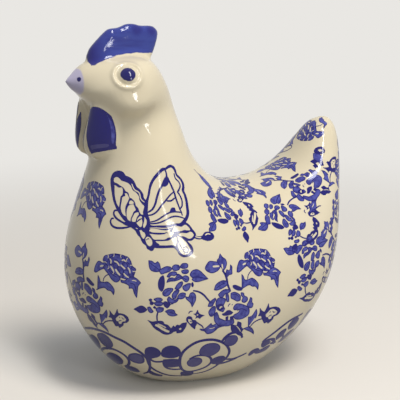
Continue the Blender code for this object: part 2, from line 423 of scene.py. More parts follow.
# %% Cream ground
CREAM, WARM_CREAM = "d8d0ba", "cdc3a8"
GLAZE_RUNS = 35 * MM
WOBBLE, WOBBLE_EVERY = 0.8 * MM, 5 * MM
EDGE = 0.25 * MM

# Clear gloss over cream: sharp reflections, and a colour that warms where the glaze is thick.
glaze, tree = new_material("clear_glaze_over_cream_earthenware")
place = add(tree, "TexCoord").outputs["Object"]
wobble = add(tree, "TexNoise", {}, {"Vector": place, "Scale": 1 / WOBBLE_EVERY, "Detail": 2.0})
wobble = add(tree, "VectorMath", {"operation": "MULTIPLY_ADD"}, {
    0: wobble.outputs["Color"], 1: (2 * WOBBLE,) * 3, 2: (-WOBBLE,) * 3,
})
by_hand = add(tree, "VectorMath", {"operation": "ADD"}, {0: place, 1: wobble.outputs[0]})
axes = add(tree, "SeparateXYZ", {}, {0: by_hand.outputs[0]})
both_sides = add(tree, "Math", {"operation": "ABSOLUTE"}, {0: axes.outputs["X"]})
mirrored = add(tree, "CombineXYZ", {}, {
    "X": both_sides.outputs[0], "Y": axes.outputs["Y"], "Z": axes.outputs["Z"],
})
runs = add(tree, "TexNoise", {}, {"Vector": place, "Scale": 1 / GLAZE_RUNS, "Detail": 2.0})
cream = add(tree, "Mix", {"data_type": "RGBA"},
            {0: runs.outputs["Fac"], 6: CREAM, 7: WARM_CREAM}).outputs[2]


def inside_ball(middle, radius):
    """How far the painted point is inside a ball, and negative outside it."""
    away = add(tree, "VectorMath", {"operation": "DISTANCE"},
               {0: mirrored.outputs[0], 1: middle}).outputs["Value"]
    return add(tree, "Math", {"operation": "SUBTRACT"}, {0: radius, 1: away}).outputs[0]


def painted(under, over, distance, softness=EDGE):
    """Lays one colour over another where a distance is positive, soft over the edge."""
    share = add(tree, "MapRange", {"interpolation_type": "SMOOTHSTEP"}, {
        "Value": distance, "From Min": -softness, "From Max": softness,
    }).outputs["Result"]
    return add(tree, "Mix", {"data_type": "RGBA"}, {0: share, 6: under, 7: over}).outputs[2]


# %% [markdown]
# The comb's lower line is a shallow arch, flat beyond the arch's reach. Its blue shows the
# strokes of the brush, which lean a little. It gets darker towards the front end, and it is
# darkest where the colour ran together under two of the lobes.

# %% Brush the comb
COMB_BLUE, COMB_DEEP = "303e90", "17126e"
COMB_LINE_TOP, COMB_LINE_MIDDLE, COMB_LINE_BEND = 185.4 * MM, -45.1 * MM, 8.57
COMB_REACH, COMB_FRONT = 30 * MM, -71.5 * MM
STROKE_LEAN, STROKE_SIZE = math.radians(14), (3 * MM, 16 * MM, 2.4 * MM)
STROKE_THIN, STROKE_THICK, STROKE_LOAD = 0.42, 0.70, 0.5
FRONT_DARK_FROM, FRONT_DARK_TO, FRONT_DARKNESS = -69.5 * MM, -61 * MM, 0.85
LOBE_POOLS = [Vector((3.0, y, z)) * MM for y, z in ((-44.3, 197.6), (-35.2, 197.3))]
LOBE_POOL_RADIUS, LOBE_POOL_SOFTNESS, LOBE_POOL_LOAD = 3.2 * MM, 2 * MM, 0.7

from_middle = add(tree, "Math", {"operation": "SUBTRACT"},
                  {0: axes.outputs["Y"], 1: COMB_LINE_MIDDLE}).outputs[0]
near_comb = add(tree, "MapRange", {}, {
    "Value": from_middle, "From Min": -COMB_REACH, "From Max": COMB_REACH,
    "To Min": -COMB_REACH, "To Max": COMB_REACH,
}).outputs["Result"]
drop = add(tree, "Math", {"operation": "MULTIPLY"}, {0: near_comb, 1: near_comb}).outputs[0]
line = add(tree, "Math", {"operation": "MULTIPLY_ADD"},
           {0: drop, 1: COMB_LINE_BEND, 2: axes.outputs["Z"]}).outputs[0]
above = add(tree, "Math", {"operation": "SUBTRACT"}, {0: line, 1: COMB_LINE_TOP}).outputs[0]
behind = add(tree, "Math", {"operation": "SUBTRACT"},
             {0: axes.outputs["Y"], 1: COMB_FRONT}).outputs[0]
on_comb = add(tree, "Math", {"operation": "MINIMUM"}, {0: above, 1: behind}).outputs[0]
leaning = add(tree, "Mapping", {}, {
    "Vector": place, "Rotation": (STROKE_LEAN, 0, 0),
    "Scale": tuple(1 / size for size in STROKE_SIZE),
})
strokes = add(tree, "TexNoise", {}, {
    "Vector": leaning.outputs[0], "Scale": 1.0, "Detail": 3.0, "Roughness": 0.6,
})
dark = add(tree, "MapRange", {}, {
    "Value": strokes.outputs["Fac"], "From Min": STROKE_THIN, "From Max": STROKE_THICK,
    "To Max": STROKE_LOAD,
}).outputs["Result"]
# Darker towards the front end of the comb, a gradient along Y over its last 8.5 mm.
darker_to_front = add(tree, "MapRange", {}, {
    "Value": axes.outputs["Y"], "From Min": FRONT_DARK_FROM, "From Max": FRONT_DARK_TO,
    "To Min": FRONT_DARKNESS, "To Max": 0.0,
}).outputs["Result"]
lobe_pools = [add(tree, "MapRange", {"interpolation_type": "SMOOTHSTEP"}, {
    "Value": inside_ball(lobe, LOBE_POOL_RADIUS), "From Min": -LOBE_POOL_SOFTNESS,
    "From Max": LOBE_POOL_SOFTNESS, "To Max": LOBE_POOL_LOAD,
}).outputs["Result"] for lobe in LOBE_POOLS]
for darkening in (darker_to_front, *lobe_pools):
    dark = add(tree, "Math", {"operation": "MAXIMUM"}, {0: dark, 1: darkening}).outputs[0]
comb_colour = add(tree, "Mix", {"data_type": "RGBA"},
                  {0: dark, 6: COMB_BLUE, 7: COMB_DEEP}).outputs[2]
colour = painted(cream, comb_colour, on_comb)

# %% Brush the beak, the pupils and the nostrils
BEAK_LAVENDER, PUPIL_NAVY = "b2aecb", "0e0a5c"
BEAK_LINE, BEAK_UNDERSIDE, BEAK_EDGE = -76.9 * MM, 160 * MM, 0.5 * MM
PUPIL_MIDDLE, PUPIL_RADIUS = EYE_MIDDLE + EYE_LOOKS * 1.8 * MM, 3.9 * MM
NOSTRIL, NOSTRIL_RADIUS = Vector((6.2, -78.4, 172.9)) * MM, 1.25 * MM

before_line = add(tree, "Math", {"operation": "SUBTRACT"},
                  {0: BEAK_LINE, 1: axes.outputs["Y"]}).outputs[0]
above_chin = add(tree, "Math", {"operation": "SUBTRACT"},
                 {0: axes.outputs["Z"], 1: BEAK_UNDERSIDE}).outputs[0]
on_beak = add(tree, "Math", {"operation": "MINIMUM"}, {0: before_line, 1: above_chin}).outputs[0]
colour = painted(colour, BEAK_LAVENDER, on_beak, BEAK_EDGE)
colour = painted(colour, PUPIL_NAVY, inside_ball(PUPIL_MIDDLE, PUPIL_RADIUS))
colour = painted(colour, PUPIL_NAVY, inside_ball(NOSTRIL, NOSTRIL_RADIUS))
under_clear_glaze(tree, colour)
print("glaze has", len(tree.nodes), "nodes")

# %% [markdown]
# The foot and the hollow are unglazed biscuit: once-fired earthenware, matt, chalky and a
# little darker than the glazed body, with a fine grain of sand.

# %% Biscuit
# The sand in the clay is finer than this, and is drawn as coarse as it needs to show.
SAND, SAND_DEPTH = 0.6 * MM, 0.1 * MM

# Bare fired clay: no gloss at all, and a grain that only shows from close by.
biscuit, tree = new_material("bare_biscuit_earthenware")
place = add(tree, "TexCoord").outputs["Object"]
grain = add(tree, "TexNoise", {}, {"Vector": place, "Scale": 1 / SAND, "Detail": 4.0})
bare = add(tree, "Mix", {"data_type": "RGBA"},
           {0: grain.outputs["Fac"], 6: "d9ccb4", 7: "c4b598"}).outputs[2]
rough = add(tree, "Bump", {}, {
    "Height": grain.outputs["Fac"], "Strength": 0.5, "Distance": SAND_DEPTH,
})
shader = add(tree, "BsdfPrincipled", {}, {
    "Base Color": bare, "Roughness": 0.85, "IOR": 1.5, "Normal": rough.outputs["Normal"],
})
add(tree, "OutputMaterial", {}, {"Surface": shader.outputs["BSDF"]})

skin.data.materials.clear()
skin.data.materials.append(glaze)
skin.data.materials.append(biscuit)
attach(skin, "root")
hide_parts("hen")

# %% [markdown]
# ## The transfer prints
# The flowers, the butterfly and the border are tissue transfers: a line drawing with a flat
# wash, printed in cobalt and rubbed onto the pot, so each is a thin film that bends with the
# body. An image texture isn't wanted here, and masks in nodes would need one node per petal.
# Knife cuts in the skin would leave slivers in the cast surface. So a print is made as it is
# in the pottery: drawn flat in millimetres, cut out, and laid on the skin.
#
# A drawing is a row of marks in the order that they are put down, and there are six kinds.
# Three leave a shape of cobalt and one a line of it. The last two scrape cobalt away again,
# down to the cream, as one would on the engraved plate.

# %% The kinds of marks, with their points in millimetres
EDGE_LINE = 0.5


def wash(*points):
    """A petal or a leaf: a thin wash inside a dark edge."""
    return "wash", EDGE_LINE, points


def pool(*points, edge=EDGE_LINE):
    """A heavier wash inside a dark ring, as in the balls of the border."""
    return "pool", edge, points


def deep(*points, spread=0.0):
    """Solid cobalt. It may spread more than the other marks do."""
    return "deep", spread, points


def pen(width, *points):
    """A drawn line."""
    return "pen", width, points


def hole(*points):
    """A shape that is scraped clean."""
    return "hole", 0.0, points


def gap(width, *points):
    """A line that is scraped clean."""
    return "gap", width, points


# %% [markdown]
# The points are few, so that a shape is easily changed, and a curve through them makes the
# outline. Where they turn sharply, as at the tip of a petal, the corner is kept. A pen line
# is widened to both sides, less so at its ends, as a nib leaves it.

# %% Marks become smooth outlines
PEN_STEP = 0.45 * MM
PRESSURE = 1.45
PEN_TIP, PEN_SWELL = 0.6, 0.4
SPREAD = 0.2
SHARP_TURN = math.radians(75)
BARE, LINE, WASH, POOL = range(4)


def smooth_line(points, closed):
    """A Catmull-Rom curve through points, which stays sharp where they turn sharply."""
    points = np.array(points, float)
    count = len(points)
    before = np.roll(points, 1, axis=0)
    after = np.roll(points, -1, axis=0)
    if not closed:
        before[0], after[-1] = points[0], points[-1]
    turn = np.abs(np.angle(
        ((after - points) @ [1, 1j]) * np.conj((points - before) @ [1, 1j] + 1e-12)
    ))
    slope = np.where((turn > SHARP_TURN)[:, None], 0.0, (after - before) / 2)
    line = []
    for i in range(count if closed else count - 1):
        j = (i + 1) % count
        length = np.linalg.norm(points[j] - points[i])
        steps = max(1, round(length * MM / PEN_STEP))
        for t in np.arange(steps) / steps:
            leave, arrive = 2 * t**3 - 3 * t**2 + 1, 3 * t**2 - 2 * t**3
            lift, land = t**3 - 2 * t**2 + t, t**3 - t**2
            line.append(
                leave * points[i] + lift * slope[i] + arrive * points[j] + land * slope[j]
            )
    if not closed:
        line.append(points[-1])
    return np.array(line)


def sideways(line, closed):
    """The direction to the left of a line at each of its points."""
    along = np.roll(line, -1, axis=0) - np.roll(line, 1, axis=0)
    if not closed:
        along[0], along[-1] = line[1] - line[0], line[-1] - line[-2]
    along /= np.maximum(np.linalg.norm(along, axis=1), 1e-9)[:, None]
    return np.stack([-along[:, 1], along[:, 0]], axis=1)


def outlines_of(marks):
    """Closed outlines in drawing order, each with the ink that it leaves."""
    done = []
    for kind, width, points in marks:
        if kind in ("pen", "gap"):
            line = smooth_line(points, closed=False)
            swell = np.sin(np.linspace(0, math.pi, len(line))) ** PEN_SWELL
            taper = PEN_TIP + (1 - PEN_TIP) * swell
            half = sideways(line, closed=False) * (taper * width * PRESSURE / 2)[:, None]
            outline = np.vstack([line + half, (line - half)[::-1]])
            done.append((outline, LINE if kind == "pen" else BARE))
            continue
        line = smooth_line(points, closed=True)
        (x, y), (next_x, next_y) = line.T, np.roll(line, -1, axis=0).T
        if np.sum(x * next_y - y * next_x) < 0:
            line = line[::-1]
        if kind == "hole":
            done.append((line, BARE))
            continue
        line = line - sideways(line, closed=True) * (SPREAD + (width if kind == "deep" else 0))
        done.append((line, LINE))
        if kind in ("wash", "pool"):
            inner = line + sideways(line, closed=True) * width
            done.append((inner, WASH if kind == "wash" else POOL))
    return done


# %% [markdown]
# Marks overlap, and stacked sheets of them would fight for the same surface. A constrained
# triangulation keeps every outline as an edge and divides the plane once. Each triangle
# takes the ink of the last outline that goes round its middle, and bare ones are dropped.
# A grid of extra points keeps the triangles small enough to bend over the body.

# %% Outlines become one flat sheet
GRID = 1.4
SAME_CORNER = 1e-4


def goes_round(outline, points):
    """How many times a closed outline goes round each point."""
    here = outline[None] - points[:, None]
    following = np.roll(here, -1, axis=1)
    angle = np.arctan2(
        here[..., 0] * following[..., 1] - here[..., 1] * following[..., 0],
        here[..., 0] * following[..., 0] + here[..., 1] * following[..., 1],
    )
    return np.rint(angle.sum(axis=1) / (2 * math.pi)).astype(int)


def flat_print(marks):
    """Corner points in mm, triangles and inks of a drawing."""
    outlines = outlines_of(marks)
    points, edges = [], []
    for outline, ink in outlines:
        start, count = len(points), len(outline)
        points.extend(outline)
        edges.extend((start + i, start + (i + 1) % count) for i in range(count))
    low, high = np.min(points, axis=0), np.max(points, axis=0)
    across, up = (np.arange(low[i], high[i], GRID) for i in (0, 1))
    points.extend((x + (n % 2) * GRID / 2, y) for n, y in enumerate(up) for x in across)
    corners, _, triangles, *_ = geometry.delaunay_2d_cdt(
        [Vector(p) for p in points], edges, [], 0, SAME_CORNER, False,
    )
    corners = np.array([tuple(c) for c in corners])
    triangles = np.array([tuple(t) for t in triangles])
    middles = corners[triangles].mean(axis=1)
    inks = np.zeros(len(triangles), int)
    for outline, ink in outlines:
        low, high = outline.min(axis=0), outline.max(axis=0)
        near = np.nonzero(((middles > low) & (middles < high)).all(axis=1))[0]
        inks[near[goes_round(outline, middles[near]) != 0]] = ink
    return corners, triangles[inks != BARE], inks[inks != BARE]


# %% [markdown]
# ### The drawings
# The marks are in millimetres from the middle of each drawing. The flowers are common to
# this ware: a spray with an open peony, a berry blossom and a half-hidden bloom, and a
# second one with a round peony, a nodding one, buds and a spiky seed head.

# %% The open peony spray, mark by mark
DRAWINGS = {}


def drawing(name, *marks):
    """Keeps the marks of a drawing under its name."""
    DRAWINGS[name] = marks
    print(name, len(marks), "marks")


drawing(
    "open_peony_spray",
    wash((-15.1, 16.6), (-13.3, 16.2), (-11.8, 15), (-10.4, 15.8), (-9.4, 14.6), (-9, 12.6),
         (-8.8, 10.9), (-11.2, 10.4), (-13.7, 11.2), (-14.8, 13)),
    pen(0.28, (-14.3, 15.2), (-12, 13.3), (-9.5, 11.3)),
    wash((-9.8, 11.2), (-7.6, 12.3), (-5.6, 12.9), (-3.6, 12.4), (-3, 11.3), (-4.2, 10.2),
         (-6.7, 9.5), (-8.7, 9.1)),
    wash((-2.8, 12), (-1.8, 13.3), (-0.3, 13.4), (1, 12.8), (1.2, 11.2), (0, 10.4), (-2, 10.5)),
    pen(0.45, (0.8, 11.5), (2, 11.9)),
    wash((1.6, 12.5), (2.8, 13.7), (4.8, 13.8), (5.8, 13), (5.6, 11.6), (4.2, 11.1), (2.5, 11.3)),
    wash((2.2, 10), (3.9, 10.5), (5.7, 10.2), (6, 9.1), (5, 8.3), (3.4, 8.4), (2.4, 9.1)),
    wash((6.8, 7.7), (8.1, 9.5), (10.6, 10), (12.9, 8.7), (14.8, 6.6), (16.8, 4.4), (14.3, 4),
         (11.2, 3.4), (9.2, 3.7), (7.7, 4.8), (8.3, 5.7), (7.4, 6.4)),
    pen(0.39, (7.8, 6), (10.6, 6), (13.4, 5.3), (16.2, 4.5)),
    deep((-10.2, 5.3), (-9.1, 7.4), (-7.7, 8.3), (-7.2, 6.7), (-7.1, 3.9), (-7.7, 1.1),
         (-8.7, -0.2), (-9.9, 1), (-10.4, 3.1)),
    wash((-5.7, 7.5), (-4.6, 9.2), (-2.8, 9.9), (-0.7, 9.5), (-0.3, 8.4), (-1.7, 7.7), (-3.4, 8),
         (-4.5, 7.1)),
    wash((-5.9, 4.4), (-5, 6.3), (-3.1, 6.8), (-1.4, 6.4), (0, 8.4), (1.2, 8), (2.5, 6.9),
         (4.2, 7.3), (5.8, 6.5), (6, 4.9), (4.8, 3.8), (3.4, 4.5), (2.2, 5.8), (0.3, 5.3),
         (-1.7, 4.9), (-3.9, 4.9)),
    pen(0.34, (-4.9, 5.5), (-1.7, 5.7), (1.1, 6.8), (3.4, 5.9), (4.8, 4.8)),
    wash((-1.7, 0.7), (-0.7, 2.5), (0.8, 3.9), (2.4, 4.3), (2.6, 3), (1.5, 1.3), (0, 0.3)),
    wash((2.6, 1.7), (3.9, 2.4), (5.6, 3), (6.9, 2.8), (6.5, 1), (5.6, -0.4), (4.2, -1),
         (2.8, 0.2)),
    deep((7.4, 2.8), (8, 3.4), (8.5, 2.1), (8.1, 0.9), (7.5, 1.4)),
    wash((-8.2, -1), (-7.1, 0.6), (-5.3, 1.3), (-3, 1.1), (-2.7, 0.1), (-3.8, -1.2), (-4.8, -2.4),
         (-6.4, -3), (-7.8, -2.4)),
    pen(0.28, (-7.2, -1.6), (-5.6, -0.3), (-3.6, 0.6)),
    wash((-3.1, -2.2), (-2.1, -0.8), (-0.6, 0.1), (0.7, -0.2), (0.1, -1.8), (-0.7, -2.9),
         (-1.1, -4.3), (-2.5, -4.6), (-3.2, -3.6)),
    wash((-5.8, -4.5), (-4.8, -3.2), (-3.4, -4.6), (-1.4, -5.2), (-0.3, -4.1), (0.1, -5.2),
         (-1.1, -6.6), (-3.4, -6.9), (-5.2, -6.3)),
    wash((-0.2, -3.4), (0.8, -2.2), (2.5, -1.7), (4, -2.2), (3.8, -3.8), (2.5, -4.9), (0.8, -5),
         (-0.1, -4.4)),
    wash((3.9, -3.9), (5.6, -4.3), (6.6, -2.5), (8.2, -2.1), (9.5, -3.8), (9.5, -6.2), (8.7, -8),
         (7.5, -10), (6.7, -7.8), (5.5, -6.4), (4.4, -5.3)),
    pen(0.28, (7, -3.4), (7.8, -5.6), (7.6, -8.4)),
    pen(0.73, (8.1, -1.1), (11.2, -2), (14, -4), (16.2, -6.7), (18.2, -9)),
    wash((-13, -4.3), (-11.2, -3.6), (-9.2, -3.8), (-8.3, -4.8), (-9.2, -5.7), (-11.5, -5.7)),
    wash((-13, -6.3), (-11.2, -6), (-8.4, -6.2), (-8.2, -7.3), (-9.5, -8.2), (-11.8, -8)),
    wash((-12.1, -9.6), (-10.1, -8.9), (-7.8, -9.4), (-8.1, -11), (-9.8, -11.9), (-11.5, -11.3)),
    deep((-15.6, -4.5), (-14.6, -4), (-13.9, -4.7), (-14.6, -5.5), (-15.3, -5.3)),
    deep((-15.1, -6.3), (-14.1, -5.6), (-13.2, -6.3), (-13.6, -7.4), (-14.7, -7.4)),
    deep((-13.4, -9), (-12.7, -8.2), (-11.9, -9), (-12.7, -9.7)),
    wash((-16.6, -9.1), (-15.4, -8.6), (-14.4, -9.8), (-13.4, -11.3), (-14.3, -12.2),
         (-15.9, -11.5)),
    deep((-8.1, -6.7), (-7, -5.8), (-5.6, -6.4), (-4.1, -7.4), (-4.9, -8.8), (-5.9, -9.6),
         (-7.3, -8.5), (-7.7, -7.6)),
    pen(0.39, (-4.5, -7.5), (-2.5, -7.3)),
    deep((-24.5, -10.5), (-22.4, -9.2), (-20.2, -8.2), (-18.4, -8.7), (-16.8, -10.4),
         (-18.5, -11.8), (-21, -12.4), (-22.7, -11.4)),
    wash((-7, -11.5), (-5.6, -10.6), (-3.6, -10.5), (-2.1, -11.2), (-1.6, -12.7), (-0.4, -13.8),
         (-2.8, -14.4), (-5.2, -13.6), (-6, -12.4)),
    pen(0.28, (-6.2, -11.6), (-3.9, -12.3), (-1.4, -13.6)),
    pen(0.62, (-10.9, -11.6), (-11.5, -14), (-11.4, -17.1)),
    deep((-16.7, -16.7), (-14.3, -17.6), (-11.8, -17.2), (-9.5, -17.1), (-8.3, -17.5), (-7.5, -19),
         (-5.8, -19.6), (-4.4, -21.3), (-3.2, -22.7), (-2.7, -24), (-4.2, -25.3), (-6.4, -25.8),
         (-8.4, -25.3), (-10.2, -23.9), (-12.2, -22.5), (-13.8, -20.8), (-15, -18.8)),
    gap(1.12, (-12.6, -19.5), (-10.6, -20.5), (-8.7, -22), (-6.4, -23.4), (-4.9, -24)),
    gap(0.5, (-11.2, -18.8), (-9, -19.9), (-6.7, -21.3)),
    deep((-3.8, -22.5), (-2.6, -20.2), (-1.7, -21.3), (-0.6, -19.8), (0.8, -20.2), (2.2, -19),
         (4.6, -18.7), (4.3, -20.7), (3.5, -22.4), (2, -24.5), (-0.7, -25), (-0.9, -23.5),
         (-2.5, -23.9)),
    gap(0.78, (0.6, -22.7), (1.7, -22)),
    deep((8.3, -13.9), (9.4, -14), (10.6, -12), (11.2, -13.9), (12.4, -14.8), (14.3, -15.5),
         (12.8, -16.1), (11.9, -17.1), (10.6, -16.2), (9.4, -16.8), (9.9, -15.3)),
    hole((10, -14.8), (10.5, -14.3), (11.1, -14.8), (10.5, -15.3)),
    pen(0.45, (5.6, -13.6), (6.4, -12.4), (7.8, -12.4)),
    deep((4.5, -16.2), (5.6, -15.2), (7.2, -15.8), (7.8, -17.4), (9.4, -17.9), (10.3, -19.6),
         (9.6, -21.2), (9.2, -23.2), (7.8, -21.8), (6.6, -20.4), (5.6, -19), (4.7, -17.9)),
    hole((5.4, -16.8), (6.8, -17.1), (7.8, -18.9), (6.8, -19.6), (5.8, -18.6)),
    pen(0.34, (6.3, -17.9), (7.4, -18.6)),
    pen(0.56, (9.9, -18.9), (11.5, -20.3), (13.2, -21.7), (14.1, -23.3)),
)

# %% The round peony spray
drawing(
    "round_peony_spray",
    wash((-13.9, 22.8), (-12.7, 24.9), (-10.9, 26.4), (-8.1, 25.9), (-6, 25.2), (-4.9, 23.5),
         (-5.6, 21.7), (-7.6, 20.3), (-10.1, 19.8), (-12.7, 20.9)),
    gap(0.73, (-9.4, 23.3), (-7.4, 23.2), (-5.6, 23.1)),
    wash((-4.2, 30.1), (-3, 28), (-1.3, 26.3), (-1, 24), (-2, 21.7), (-3.4, 20.3), (-4.6, 22.4),
         (-5.9, 24.5), (-6.5, 26.4), (-5.3, 27.6)),
    gap(0.56, (-3.8, 24), (-3.7, 21.4)),
    pen(0.9, (-4, 20.6), (-2.7, 18.4), (-1.9, 15.7), (-1.5, 12.3), (-0.1, 8.7)),
    wash((1.1, 23.1), (2, 21.8), (1.7, 19.6), (1.5, 17.9), (-0.3, 17.5), (-1.8, 16.1),
         (-2.1, 18.5), (-1.3, 20.7), (-0.3, 19.9), (0.6, 20.6)),
    wash((-9.5, 10.4), (-8.5, 12.9), (-6.5, 14.3), (-3.9, 14.9), (-1.8, 14), (-1.7, 12.5),
         (-3.1, 11.4), (-5.6, 10.5), (-7.8, 10.1)),
    pen(0.28, (-8.4, 11.1), (-5.6, 12.6), (-2.8, 13.4)),
    wash((-7.2, 7.5), (-5.6, 9), (-3.4, 9.9), (-1.3, 9.6), (0.2, 8.6), (-1.3, 7.8), (-3.1, 7.5),
         (-4.5, 6), (-6.2, 6)),
    deep((1.6, 11.4), (2.9, 11.5), (5.2, 10.4), (7.2, 9.2), (6.8, 8.2), (4.8, 8.3), (3, 9.2),
         (1.7, 10.2)),
    wash((-12.8, -1.5), (-11.5, 0.6), (-9.8, 1.5), (-8.9, 0.6), (-9.2, -2.2), (-10.4, -4),
         (-11.9, -3.8)),
    wash((-13.2, 1.8), (-12.4, 3.9), (-11.2, 4.8), (-9.1, 6), (-8.6, 5), (-9.8, 3.2),
         (-10.9, 1.6)),
    wash((-9.4, -2.8), (-8, -2.1), (-7.2, -3.9), (-6.6, -5.6), (-4.9, -6.7), (-3.1, -7.6),
         (-0.6, -7.7), (1.8, -7.4), (2.1, -9.9), (-0.6, -11.1), (-3.9, -10.8), (-6.8, -9.9),
         (-8.8, -8), (-9.6, -5.6)),
    wash((-8.7, 3.4), (-7.8, 5.2), (-6.2, 5.7), (-3.9, 5.2), (-3, 3.9), (-3.8, 2.2), (-4.4, 0.6),
         (-3.5, -0.6), (-4.5, -2.4), (-6.3, -1.6), (-7.7, -0.6), (-8.5, 1.1)),
    deep((-7.7, 1.7), (-6.2, 2.2), (-4.6, 1.4), (-3.9, -0.2), (-5.6, -1.2), (-7.2, -0.3)),
    gap(0.56, (-6.5, -0.3), (-5.8, 0.6), (-5, 0.4)),
    wash((-2.9, 7.4), (-1.7, 7.7), (-1.1, 5.6), (-1.1, 3), (-2.3, 3), (-2.8, 5)),
    wash((0.2, 7.3), (2.2, 7.7), (4.5, 6.6), (5.9, 5), (5.7, 2.7), (3.9, 2.4), (1.6, 3.8),
         (0.2, 4.7)),
    pen(0.28, (1, 6.5), (3.1, 6.3), (4.9, 4.8)),
    wash((6.2, 6.8), (7.8, 6.4), (8.3, 4.8), (10, 3.7), (10, 1.9), (8.1, 1), (6.6, 2.2),
         (7.3, 3.9), (6.4, 5.3)),
    wash((9.9, -0.3), (11.1, 1.4), (11.9, 3.4), (13, 2.6), (12.9, 0.6), (13.7, -0.6), (12.9, -2.4),
         (11.2, -2.4), (10, -1.2)),
    deep((-5, -3.5), (-3.4, -3), (-2, -2.1), (-0.4, -2.2), (1.3, -3.6), (0, -4.5), (-2.8, -4.7),
         (-4.5, -4.3)),
    wash((1.6, -0.9), (2.8, 0.7), (4.5, 1), (7.8, -0.2), (10.5, -1.9), (11.4, -4), (10.8, -6.3),
         (8.4, -7.7), (5.6, -8.2), (3, -7.6), (1.8, -6.2), (2.1, -5), (4.6, -4), (5.6, -2.3),
         (3.9, -2.4), (2.1, -2.2)),
    pen(0.39, (3.9, -3.1), (5.9, -2.2), (8.1, -2.8), (9.8, -4.2)),
    pen(0.39, (-1.6, 0.1), (-1.1, 1.2), (-0.2, 1.6)),
    pen(0.34, (0.6, 0.6), (1.1, 1.2)),
    deep((-2.8, -5.6), (-1.4, -5.3), (-1.6, -7.6), (-2.7, -7.4)),
    deep((-0.3, -5.9), (1.7, -5.6), (1.5, -7.4), (-0.1, -7.6)),
    wash((-17.6, -10.8), (-15.1, -11.1), (-13.4, -10), (-11.2, -8.1), (-10.3, -9.4), (-7.8, -8.8),
         (-6.9, -10.3), (-3.8, -10.9), (-6.7, -11.4), (-8.1, -12.5), (-10.4, -14.2),
         (-13.2, -14.4), (-14.7, -12.7), (-16.6, -11.9)),
    gap(0.34, (-12, -11.2), (-10.4, -11.3), (-9, -10.8)),
    deep((0.6, -10.5), (2.2, -11.1), (4, -11.9), (4.5, -9.4), (6.6, -10.6), (6.8, -12.9),
         (8, -15.1), (6.9, -17.1), (7.2, -18.9), (4.9, -17.5), (3.5, -15.8), (1.7, -15.2),
         (0.7, -13.2)),
    gap(0.34, (3.9, -12), (5.6, -14), (6.7, -16)),
    pen(0.62, (7.3, -14.7), (10.4, -14.4), (12.4, -13.3)),
    wash((8.7, -14.3), (11.2, -13.9), (13.5, -15), (15, -17.4), (15.3, -19.5), (13.9, -18),
         (11.9, -16.6), (10, -15.5)),
    pen(0.56, (12.4, -14), (14.3, -11.9), (16.4, -10.9), (19, -10.4), (21, -10.8)),
    wash((10.8, -7.7), (12.9, -7.5), (14.6, -5.5), (15.7, -3.9), (16.2, -5.6), (15.8, -8.4),
         (14.1, -10.8), (12.4, -13), (11.2, -13.9), (11, -11.2)),
    gap(0.45, (11.9, -13.4), (13.4, -11.6), (15.2, -9.2)),
    deep((18, -3.8), (19.4, -5.6), (21, -6.6), (22.3, -4.5), (23.5, -2), (24.1, -4.5),
         (25.9, -4.6), (28.3, -4.8), (30.7, -6), (31.8, -8.1), (30, -10), (27.6, -10.6),
         (26.9, -12.4), (24.1, -14.4), (23.2, -13.2), (21.6, -13.6), (20.6, -12), (19.7, -10.4),
         (19, -8.5), (17.1, -8.2), (18, -6.4)),
    hole((22, -8.3), (23.6, -6.8), (25.2, -5.7), (27.2, -5.8), (28.4, -6.7), (29.7, -8),
         (28.8, -9.3), (27.3, -9.6), (26.3, -10.3), (25.6, -11.5), (24.2, -11.5), (23.5, -10.1),
         (22.4, -9.9)),
    pen(0.39, (23.9, -10), (25, -9.3), (26.1, -9.4)),
    pen(0.39, (26.4, -6.9), (27.3, -8), (28.3, -7.7)),
    pen(0.34, (24.4, -7.7), (25.2, -6.8)),
)

